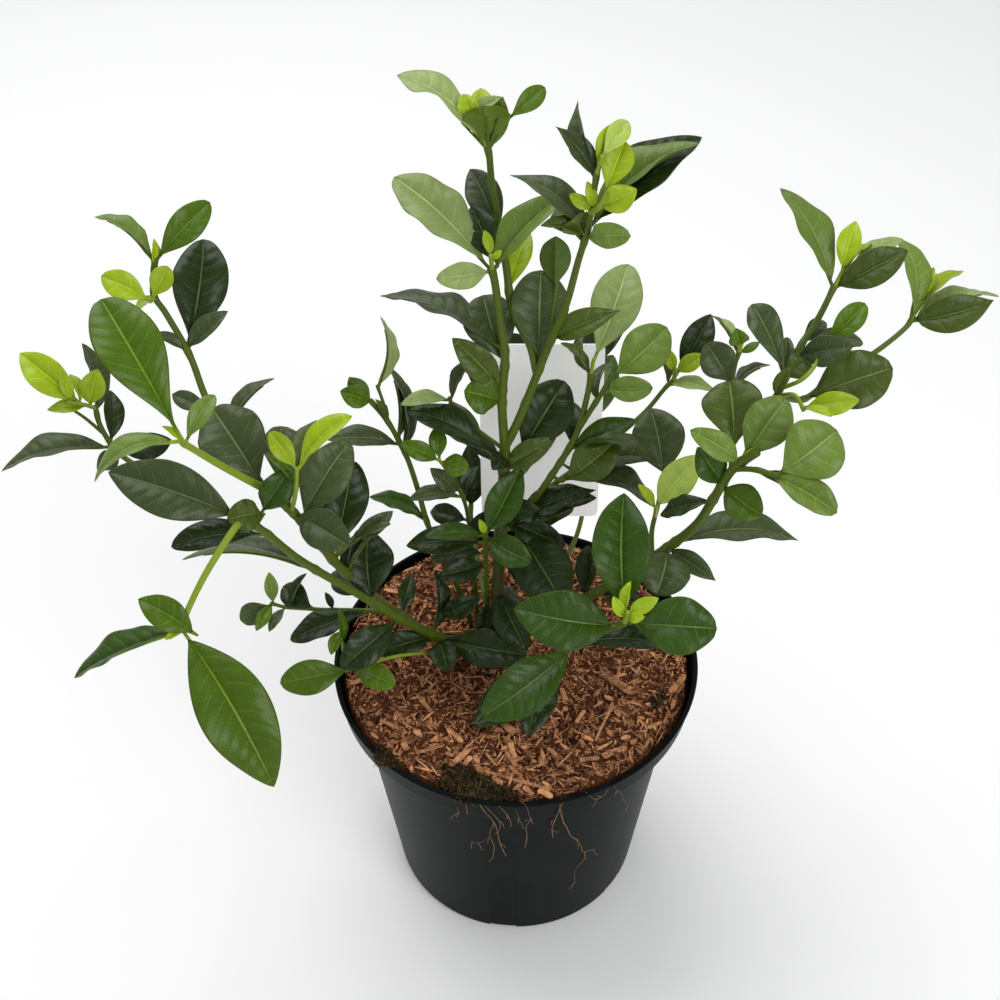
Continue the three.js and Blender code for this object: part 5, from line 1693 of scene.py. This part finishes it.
@cache
def scatter_tree() -> Tree:
    """The tree that strews a surface with bits of wood or moss."""
    nodes = new_group(
        "strewn", "GeometryNodeTree",
        {"Geometry": GEOMETRY, "Seed": INTEGER, "Density": FLOAT, "Least": VECTOR, "Most": VECTOR,
         "Tilt": FLOAT, "Lift": FLOAT, "Ruffle": FLOAT, "Limit": FLOAT, "Long": INTEGER, "Wide": INTEGER,
         "Skin": MATERIAL},
        {"Geometry": GEOMETRY},
    )
    given = nodes.given
    tilt = given["Tilt"]
    x, y, z = nodes.parts(nodes.add("GeometryNodeInputPosition"))

    def chance(offset: float, least: Any, most: Any, kind: str = "FLOAT") -> Socket:
        """A random value for each bit between two ends."""
        first = ("FLOAT_VECTOR", "FLOAT").index(kind)
        inputs = {2 * first: least, 2 * first + 1: most, "Seed": nodes.math("ADD", given["Seed"], offset)}
        return nodes.add("FunctionNodeRandomValue", inputs, data_type=kind).outputs[first]

    def moved(thing: Any, **inputs: Any) -> Node:
        """Geometry at another place."""
        return nodes.add("GeometryNodeSetPosition", {0: thing, **inputs})

    spots = nodes.add("GeometryNodeDistributePointsOnFaces",
                      {"Mesh": given["Geometry"], "Density": given["Density"], "Seed": given["Seed"]})
    raised = moved(spots, Offset=nodes.vector(0.0, 0.0, chance(1.0, 0.0, given["Lift"])))
    back = nodes.times(tilt, -1.0)
    low, high = nodes.vector(back, back, 0.0), nodes.vector(tilt, tilt, 2 * math.pi)
    turn = nodes.add("FunctionNodeEulerToRotation", {0: chance(2.0, low, high, "FLOAT_VECTOR")})

    narrowing, darker = -2.4, 1.7
    block = nodes.add("GeometryNodeMeshCube", {"Vertices X": given["Long"], "Vertices Y": given["Wide"]})
    slim = nodes.scaled(nodes.math("POWER", nodes.math("ABSOLUTE", x), 2.0), narrowing, 1.0)
    bit = moved(block, Position=nodes.vector(x, nodes.times(y, slim), nodes.times(z, slim)))
    size = chance(3.0, given["Least"], given["Most"], "FLOAT_VECTOR")
    placed = nodes.add("GeometryNodeInstanceOnPoints",
                       {"Points": raised, "Instance": bit, "Rotation": turn, "Scale": size})
    shade = nodes.math("POWER", chance(4.0, 0.0, 1.0), darker)
    shaded = nodes.add("GeometryNodeStoreNamedAttribute", {0: placed, "Name": "shade", "Value": shade},
                       data_type="FLOAT", domain="INSTANCE")
    real = nodes.add("GeometryNodeRealizeInstances", {0: shaded})

    push_scale, room = 170.0, 3 * MM
    rough = nodes.add("ShaderNodeTexNoise", {"Scale": push_scale, "Detail": 1.0})
    middle = nodes.add("ShaderNodeVectorMath", {0: rough.outputs[1], 1: (0.5, 0.5, 0.5)},
                       operation="SUBTRACT")
    push = nodes.add("ShaderNodeVectorMath", {0: middle, "Scale": given["Ruffle"]}, operation="SCALE")
    uneven = moved(real, Offset=push)

    square = nodes.math("ADD", nodes.math("POWER", x, 2.0), nodes.math("POWER", y, 2.0))
    radius = nodes.math("SQRT", square)
    start = nodes.math("SUBTRACT", given["Limit"], room)
    excess = nodes.math("MAXIMUM", nodes.math("SUBTRACT", radius, start), 0.0)
    fade = nodes.math("EXPONENT", nodes.math("DIVIDE", excess, -room))
    eased = nodes.scaled(nodes.math("SUBTRACT", 1.0, fade), room, nodes.math("MINIMUM", radius, start))
    share = nodes.math("DIVIDE", eased, nodes.math("MAXIMUM", radius, 1e-4))
    held = moved(uneven, Position=nodes.vector(nodes.times(x, share), nodes.times(y, share), z))
    return nodes.give(Geometry=nodes.add("GeometryNodeSetMaterial", {0: held, "Material": given["Skin"]}))


@dataclass(frozen=True)
class Strewing:
    """One kind of bit that lies on the mulch.

    Args:
        name: name of the piece.
        finish: its surface.
        density: bits for each square metre.
        least: smallest length, width and height in millimetres.
        most: the largest ones.
        tilt: largest tilt in radians.
        lift: largest height over the bed in millimetres.
        seed: fixes where the bits lie.
        detail: points along and across a bit.
        unevenness: how far points are pushed, as a share of the largest width.
    """

    name: str
    finish: GrainFinish
    density: float
    least: Triple
    most: Triple
    tilt: float
    lift: float
    seed: int
    detail: tuple[int, int] = (4, 3)
    unevenness: float = 0.225

    def build(self, bed: Thing, limit: float) -> None:
        """Strews the bits over a copy of the bed.

        Args:
            bed: the surface that they lie on.
            limit: largest distance from the pot's axis, in metres.
        """
        thing = new_object(self.name, bed.data)
        ruffle = self.unevenness * self.most[1] * MM
        grow(thing, scatter_tree(), {
            "Seed": self.seed, "Density": self.density, "Least": tuple(value * MM for value in self.least),
            "Most": tuple(value * MM for value in self.most), "Tilt": self.tilt, "Lift": self.lift * MM,
            "Ruffle": ruffle, "Limit": limit, "Long": self.detail[0], "Wide": self.detail[1],
            "Skin": self.finish.material()})
        keep(thing, Slot.MULCH, "mulch")


def split_chip(ends: list[Array], width: float, thickness: float, draw: random.Random) -> Array:
    """A chip of split wood with ragged ends, in metres.

    Args:
        ends: places of the two ends.
        width: largest width.
        thickness: thickness.
        draw: gives its small differences.

    Returns:
        Its places, by ring, point and axis.
    """
    span = ends[1] - ends[0]
    side = unit(np.cross(UP, span)) * math.cos(0.25) + UP * draw.uniform(-0.25, 0.25)
    lift = unit(np.cross(unit(span), side))
    rings = []
    for share in (0.0, 0.07, 0.3, 0.6, 0.9, 1.0):
        half = width / 2 * (draw.uniform(0.1, 0.45) if share in (0.0, 1.0) else draw.uniform(0.75, 1.0))
        bow = lift * draw.uniform(-0.25, 0.25) * thickness
        centre = ends[0] + span * share + side * draw.uniform(-0.08, 0.08) * width + bow
        thick = thickness / 2 * draw.uniform(0.7, 1.0)
        rings.append([centre + side * half * a + lift * thick * b
                      for a, b in ((-1, -0.6), (-0.2, -1), (1, -0.7), (0.9, 0.6), (0.1, 1), (-0.9, 0.8))])
    return np.array(rings)


@dataclass(frozen=True)
class Mulch:
    """The potting mix with its loose wood chips."""

    pot: Pot
    level: float = 176.0
    heap: float = 5.0
    lumps: float = 1.3
    gap: float = 0.3
    rings: int = 46
    segments: int = 168
    brim: float = 6.5
    bed_radius: float = 108.6
    bed_rings: int = 48
    dips: tuple[Triple, ...] = ((-34.0, -107.0, 9.0), (5.0, -111.0, 9.0))
    dip_depth: float = 9.0
    dip_width: float = 5.0
    crumb_height: float = 0.5
    strewings: tuple[Strewing, ...] = (
        Strewing("mulch_fines", CHIP, 150000, (1.4, 0.6, 0.4), (4.6, 1.6, 1.0), 0.8, 2.6, 5, (3, 2)),
        Strewing("mulch_chips", CHIP, 27000, (4, 1.2, 0.6), (11, 3.6, 1.3), 0.42, 3.4, 21),
        Strewing("mulch_slivers", CHIP, 38000, (5, 0.5, 0.4), (15, 1.4, 0.9), 0.32, 3.8, 42, (4, 2)),
    )
    large_chips: tuple[tuple[Pair, Pair, float, float], ...] = (
        ((450, 766), (470, 749), 4.7, 0.63), ((473, 765), (503, 785), 5.1, 0.73),
        ((483, 771), (554, 790), 2.7, 0.58), ((508, 765), (521, 776), 3.1, 0.48),
        ((506, 752), (516, 767), 3.5, 0.58), ((510, 743), (515, 758), 3.9, 0.78),
        ((486, 753), (496, 766), 2.0, 0.68), ((556, 762), (574, 771), 4.7, 0.38),
        ((579, 760), (599, 757), 3.9, 0.48), ((602, 756), (627, 747), 4.7, 0.53),
        ((524, 786), (533, 795), 3.9, 0.63), ((538, 790), (553, 797), 4.7, 0.83),
        ((418, 752), (443, 746), 2.7, 0.58), ((403, 742), (407, 750), 4.7, 0.68),
        ((464, 766), (471, 756), 3.9, 0.68), ((475, 755), (478, 763), 3.5, 0.78),
        ((600, 671), (631, 693), 7.0, 0.38), ((561, 688), (566, 700), 3.9, 0.58),
        ((670, 693), (685, 676), 5.1, 0.43), ((501, 720), (515, 733), 6.2, 0.63),
        ((576, 723), (585, 710), 3.1, 0.68), ((595, 741), (610, 710), 1.9, 0.68),
        ((648, 728), (662, 722), 2.7, 0.58), ((448, 728), (462, 742), 3.9, 0.73),
        ((420, 700), (432, 712), 3.1, 0.48), ((380, 720), (398, 728), 3.1, 0.53),
    )

    def relief(self, x: Array, y: Array) -> Array:
        """The height of the mulch over its flat level, in millimetres.

        Args:
            x: places to the right of the pot's axis.
            y: places behind it.

        Returns:
            One value for each place.
        """
        share = np.hypot(x, y) / self.pot.rim_radius
        lumps = np.sin(x * 0.11 + 1) * np.cos(y * 0.13) + 0.8 * np.sin(x * 0.29 - y * 0.21)
        brim = self.brim * smooth(np.hypot(x, y), 45, 95) * (1 - 0.6 * smooth(x, 45, 95))
        sunk = sum(np.exp(-(((x - a) / reach) ** 2) - ((y - b) / self.dip_width) ** 2)
                   for a, b, reach in self.dips)
        return self.heap * (1 - share * share) + self.lumps * lumps + brim - self.dip_depth * sunk

    def raised(self, places: Array) -> Array:
        """The places with those of the flat top raised to the relief.

        Args:
            places: rows of points in metres.

        Returns:
            Rows of points in metres.
        """
        x, y, z = (places / MM).T
        radius = np.hypot(x, y)
        crumbs = np.sin(x * 0.9 + 2 * np.sin(y * 0.6)) * np.cos(y * 0.8 + np.sin(x * 0.7))
        rim = smooth(radius, self.bed_radius + 1.5, self.bed_radius - 1.5)
        lift = (self.relief(x, y) + self.crumb_height * crumbs) * rim
        return np.where(z > self.level - 0.1, z + lift, z)[:, None] * MM * UP + places * np.array([1, 1, 0])

    def build(self) -> None:
        """Builds and dresses the potting mix and what lies on it."""
        pot = self.pot
        ledge = pot.ledge + self.gap
        edge = pot.collar_radius - pot.wall - 0.9 - self.gap
        inset, bottom = pot.wall + self.gap, pot.floor + self.gap
        body = [(0, bottom), (pot.base_radius - inset, bottom), (pot.neck_radius - inset, ledge),
                (edge, ledge + pot.wall), (edge, self.level - 0.4)]
        top = [(edge * share, self.level) for share in np.linspace(0.995, 0.02, self.rings)]
        profile = [*body, *top, (0, self.level)]
        mesh = turned_mesh("potting_mix", profile, self.segments, SOIL, self.raised)
        keep(new_object("potting_mix", mesh), Slot.MULCH, "mulch")
        bed = self.bed()
        for strewing in self.strewings:
            strewing.build(bed, (edge - 0.4) * MM)
        bpy.data.objects.remove(bed)
        self.named_chips()

    def on_bed(self, u: float, v: float, over: float) -> Array:
        """The place seen at a picture point, over the mulch.

        Args:
            u: column of the picture point.
            v: row of the picture point.
            over: distance over the mulch in millimetres.

        Returns:
            The place in metres.
        """
        z = self.level + self.heap
        for _ in range(3):
            x, y, _ = SURVEY.at_height(u, v, z * MM) / MM
            z = self.level + float(self.relief(x, y)) + over
        return SURVEY.at_height(u, v, z * MM)

    def named_chips(self) -> None:
        """Lays the large chips where the survey saw them."""
        chips = []
        for number, (one, other, width, _) in enumerate(self.large_chips):
            draw = random.Random(number)
            ends = [self.on_bed(*one, draw.uniform(3.2, 4.4)), self.on_bed(*other, draw.uniform(3.2, 4.8))]
            chips.append(split_chip(ends, width * MM, draw.uniform(0.8, 1.4) * MM, draw))
        mesh = bodies_mesh("large_chips", chips, CHIP, [chip[3] for chip in self.large_chips])
        keep(new_object("large_chips", mesh), Slot.MULCH)

    def bed(self) -> Thing:
        """The upper surface alone, on which the bits are strewn."""
        radii = np.linspace(1, self.bed_radius, self.bed_rings)
        r, turn = np.meshgrid(radii, np.linspace(0, 2 * math.pi, self.segments + 1), indexing="ij")
        x, y = r * np.cos(turn), r * np.sin(turn)
        places = np.stack([x, y, self.level + self.relief(x, y)], axis=-1).reshape(-1, 3) * MM
        numbers = np.arange(len(places)).reshape(r.shape)
        return new_object("bed", new_mesh("bed", places, sheet_faces(numbers.T)))


@dataclass(frozen=True)
class Clump:
    """A clump of moss and peat that hangs over the lip.

    Args:
        name: name of the piece.
        spot: picture point of its middle.
        height: height of its middle in millimetres.
        reach: half its length and width, and its height in millimetres.
        turn: angle of its length in radians.
        tufts: the fibres on it.
        count: points along each side of its sheets.
        shade: 0 for dark to 1 for pale.
    """

    name: str
    spot: Pair
    height: float
    reach: Triple
    turn: float
    tufts: Strewing
    count: int = 22
    shade: float = 0.1

    def mound(self) -> Mesh:
        """The closed body of the clump, a lens with an uneven back and a ragged outline."""
        side = np.linspace(-1, 1, self.count)
        a, b = np.meshgrid(side, side, indexing="ij")
        x, y = a * np.sqrt(1 - b * b / 2), b * np.sqrt(1 - a * a / 2)
        rise = 1 - x * x - y * y
        lumps = 1 + 0.35 * np.sin(5 * x + 2 * y) * np.cos(4 * y - 3 * x)
        around = np.arctan2(y, x)
        ragged = 1 + 0.16 * np.sin(3 * around + 0.6) + 0.1 * np.sin(7 * around)
        along, across, high = (extent * MM for extent in self.reach)
        way = np.array([math.cos(self.turn), math.sin(self.turn), 0.0])
        flat = SURVEY.at_height(*self.spot, self.height * MM) + (x * ragged * along)[..., None] * way
        flat = flat + (y * ragged * across)[..., None] * np.cross(UP, way)
        upper = flat + (rise * lumps * high)[..., None] * UP
        lower = (flat - (0.3 * rise * high)[..., None] * UP)[1:-1, 1:-1]
        numbers = np.arange(a.size).reshape(a.shape)
        below = numbers.copy()
        below[1:-1, 1:-1] = a.size + np.arange(lower.size // 3).reshape(lower.shape[:2])
        places = np.vstack([upper.reshape(-1, 3), lower.reshape(-1, 3)])
        return new_mesh(self.name, places, lens_faces(numbers.T, below.T), MOSS, soft=True,
                        shades=[self.shade] * len(places))

    def build(self) -> None:
        """Builds and dresses the clump with its tufts."""
        self.tufts.build(keep(new_object(self.name, self.mound()), Slot.MULCH), 0.14)


CLUMPS = (
    Clump("moss_clump", (473, 786), 185.0, (23.0, 11.0, 6.0), math.radians(-24),
          Strewing("moss_tufts", MOSS, 480000, (2, 0.3, 0.3), (8, 0.8, 0.7), 1.4, 1.6, 63, (4, 2))),
    Clump("peat_crumb", (386, 759), 188.0, (9.0, 5.0, 3.0), math.radians(-42),
          Strewing("peat_fibres", MOSS, 620000, (2, 0.3, 0.3), (7, 0.7, 0.6), 1.4, 1.4, 64, (4, 2))),
    Clump("moss_spot", (658, 700), 183.0, (7.0, 4.0, 2.0), math.radians(60),
          Strewing("moss_spot_tufts", MOSS, 480000, (2, 0.3, 0.3), (5, 0.7, 0.6), 1.2, 1.2, 65, (4, 2))),
)


@dataclass(frozen=True)
class Rootlets:
    """Fine roots that hang over the lip and lie against the wall."""

    pot: Pot
    reach: float = 30.0
    stand_off: float = 0.4
    collar_slope: float = 0.15
    lip_height: float = 3.2
    sides: int = 7
    step: float = 1.5 * MM
    thickness: float = 0.38 * MM
    hair_radii: Pair = (0.14 * MM, 0.08 * MM)
    strands: tuple[tuple[float, tuple[Pair, ...]], ...] = (
        (0.9, ((480, 805), (486, 813), (493, 821), (497, 830), (500, 843), (506, 856))),
        (0.6, ((485, 806), (494, 815), (499, 821), (500, 828))),
        (0.7, ((493, 824), (490, 836), (494, 846), (493, 857))),
        (0.4, ((490, 836), (485, 840), (478, 843), (472, 842))),
        (0.6, ((499, 806), (506, 813), (510, 820), (511, 827))),
        (0.6, ((519, 800), (526, 806), (529, 815), (531, 819), (526, 827), (527, 837), (525, 848))),
        (0.4, ((516, 809), (519, 818), (524, 829))),
        (0.8, ((561, 798), (559, 810), (555, 820), (552, 830), (553, 838))),
        (0.9, ((566, 797), (560, 808), (562, 818), (567, 828), (571, 836), (578, 840))),
        (0.7, ((576, 839), (581, 846), (584, 852), (593, 849))),
        (0.5, ((584, 851), (585, 857), (575, 870), (575, 882))),
        (0.5, ((586, 792), (591, 797), (597, 799), (604, 795), (608, 790))),
        (0.4, ((608, 783), (619, 791), (624, 801), (628, 807))),
        (0.7, ((457, 807), (459, 812), (456, 817))),
        (0.6, ((466, 803), (467, 809))),
    )

    def surface(self, height: Array) -> Array:
        """The distance from the axis at which a hanging root lies, in metres.

        Args:
            height: heights in metres.

        Returns:
            One value for each height.
        """
        z, pot = height / MM, self.pot
        collar = pot.collar_radius + self.collar_slope * (z - pot.ledge)
        step = pot.collar_radius - pot.neck_radius
        hanging = pot.wall_radius(z) + step * smooth(z, pot.collar_foot - self.reach, pot.collar_foot)
        lip = np.where(z > pot.height - self.lip_height, pot.rim_radius, collar)
        return (np.where(z > pot.collar_foot, lip, hanging) + self.stand_off) * MM

    def on_pot(self, u: float, v: float) -> Array:
        """The place on the pot's wall or lip that is seen at a picture point.

        Args:
            u: column of the picture point.
            v: row of the picture point.

        Returns:
            The place in metres.
        """
        ray = SURVEY.ray(u, v)
        heights = np.linspace((self.pot.height + 0.5) * MM, 10 * MM, 900)
        places = SURVEY.eye + ((heights - SURVEY.eye[2]) / ray[2])[:, None] * ray
        inside = np.hypot(places[:, 0], places[:, 1]) < self.surface(places[:, 2])
        return places[int(np.argmax(inside))]

    def hairs(self, draft: MeshDraft, points: tuple[Pair, ...], draw: random.Random) -> None:
        """Adds fine side roots to a strand.

        Args:
            draft: the mesh to add to.
            points: the strand's picture points.
            draw: gives the side roots their places.
        """
        for _ in range(len(points) // 2):
            spot = np.array(points[draw.randrange(1, len(points))], dtype=float)
            step = np.array([draw.uniform(-3, 3), draw.uniform(1, 3)])
            hair = [self.on_pot(*(spot + step * k + (0, draw.uniform(-1, 1) * k))) for k in range(4)]
            course = Course(hair, self.step)
            draft.line(course.places, np.linspace(*self.hair_radii, course.count), np.ones(course.count))

    def build(self) -> None:
        """Builds and dresses the roots."""
        draft = MeshDraft()
        for radius, points in self.strands:
            course = Course([self.on_pot(u, v) for u, v in points], self.step)
            shares = np.linspace(0, 1, course.count)
            draft.line(course.places, radius * self.thickness * (1 - 0.5 * shares), 0.2 + 0.8 * shares)
            self.hairs(draft, points, random.Random(len(draft.points)))
        thing = new_object("rootlets", draft.mesh("rootlets", []))
        grow(thing, tube_tree(), {"Sides": self.sides, "Skin": ROOT.material()})
        keep(thing, Slot.MULCH)


@dataclass(frozen=True)
class Card:
    """The bare plant card on its pointed stake, leaning back a little."""

    width: float = 77.0
    height: float = 135.0
    foot: float = 222.0
    centre: float = 15.7
    back: float = 92.0
    lean: float = 8.0
    thickness: float = 1.0
    corner: float = 5.0
    stake_half: float = 6.0
    stake_bottom: float = 140.0
    stake_point: float = 20.0
    bevel: float = 0.3

    def outline(self) -> Array:
        """The outline of the card with its stake, seen from the front, anticlockwise."""
        half, top, corner = self.width / 2, self.foot + self.height, self.corner
        neck, point = self.stake_half, self.stake_bottom + self.stake_point
        right = [(neck, point, 2), (neck, self.foot, 2), (half, self.foot, corner), (half, top, corner)]
        left = [(-x, y, reach) for x, y, reach in reversed(right)]
        bottom = (0, self.stake_bottom, 0)
        return np.array(rounded([bottom, *right, *left, bottom], 8)[:-1])

    def build(self) -> None:
        """Builds and dresses the card."""
        line = self.outline()
        ahead = np.roll(line, -1, axis=0) - np.roll(line, 1, axis=0)
        out = unit(np.column_stack([ahead[:, 1], -ahead[:, 0]]))
        half, bevel = self.thickness / 2, self.bevel
        rings = []
        for inset, depth in ((bevel, half), (0, half - bevel), (0, bevel - half), (bevel, -half)):
            x, z = (line - out * inset).T
            rings.append(np.column_stack([x, np.full(len(line), depth), z]))
        x, y, z = np.moveaxis(np.array(rings), -1, 0)
        tilt = math.asin(self.lean / self.height)
        shift = self.back - self.foot * math.sin(tilt)
        places = [x + self.centre, y * math.cos(tilt) + z * math.sin(tilt) + shift,
                  z * math.cos(tilt) - y * math.sin(tilt)]
        mesh = bodies_mesh("plant_card", [np.stack(places, axis=-1) * MM], CARD)
        keep(new_object("plant_card", mesh), Slot.LABEL, "label")


@dataclass(frozen=True)
class Studio:
    """A pale floor, soft lights and the camera of the survey."""

    floor_reach: float = 4.0
    floor_points: int = 25
    floor_rise: float = 0.05
    floor_level: float = 2.5
    floor_gap: float = 0.2 * MM
    floor_colour: Colour = (246, 246, 244)
    world_colour: Colour = (250, 252, 255)
    world_strength: float = 0.56
    aim_height: float = 0.25
    lights: tuple[tuple[str, Triple, float, float], ...] = (
        ("key", (-0.6, 0.9, 2.2), 2.0, 30.0),
        ("fill", (1.1, -1.5, 1.5), 1.4, 21.0),
    )

    def floor(self) -> None:
        """Makes the floor, a slightly hollow sheet with the pot on its level middle."""
        side = np.linspace(-self.floor_reach, self.floor_reach, self.floor_points)
        x, y = np.meshgrid(side, side)
        z = self.floor_rise * np.maximum(np.hypot(x, y) - self.floor_level, 0) ** 2 - self.floor_gap
        places = np.stack([x, y, z], axis=-1).reshape(-1, 3)
        finish = GrainFinish("floor", self.floor_colour, self.floor_colour, 0.9, 20.0, 0.1 * MM, shine=0.1)
        faces = sheet_faces(np.arange(x.size).reshape(x.shape))
        new_object("floor", new_mesh("floor", places, faces, finish, soft=True))

    def light(self) -> None:
        """Lights the scene."""
        world = bpy.data.worlds.new("studio")
        world.use_nodes = True
        background = world.node_tree.nodes["Background"]
        background.inputs["Color"].default_value = linear(self.world_colour)
        background.inputs["Strength"].default_value = self.world_strength
        bpy.context.scene.world = world
        aim = Vector((0.0, 0.0, self.aim_height))
        for name, place, size, power in self.lights:
            lamp = bpy.data.lights.new(name, "AREA")
            lamp.shape = "DISK"
            lamp.size = size
            lamp.energy = power
            thing = new_object(name, lamp)
            thing.location = place
            thing.rotation_euler = (aim - Vector(place)).to_track_quat("-Z", "Y").to_euler()

    def camera(self) -> None:
        """Places the camera where the survey stood."""
        lens = bpy.data.cameras.new("survey")
        lens.sensor_width = 36.0
        lens.lens = SURVEY.focal / SURVEY.width * lens.sensor_width
        lens.shift_x = (SURVEY.width / 2 - SURVEY.centre_u) / SURVEY.width
        lens.clip_start = 0.01
        thing = new_object("survey", lens)
        thing.location = Vector(SURVEY.eye)
        thing.rotation_euler = (math.pi / 2 - SURVEY.elevation, 0.0, 0.0)
        bpy.context.scene.camera = thing

    def build(self) -> None:
        """Sets up the picture."""
        self.floor()
        self.light()
        self.camera()
        bpy.context.scene.view_settings.view_transform = "Standard"


def main() -> None:
    """Builds the potted gardenia and its studio."""
    logging.basicConfig(level=logging.INFO, format="%(name)s: %(message)s")
    pot = Pot()
    Shrub(SHOOTS, BACK_SHOOTS).build()
    pot.build()
    Mulch(pot).build()
    for clump in CLUMPS:
        clump.build()
    Rootlets(pot).build()
    Card().build()
    Studio().build()


if __name__ == "__main__":
    main()
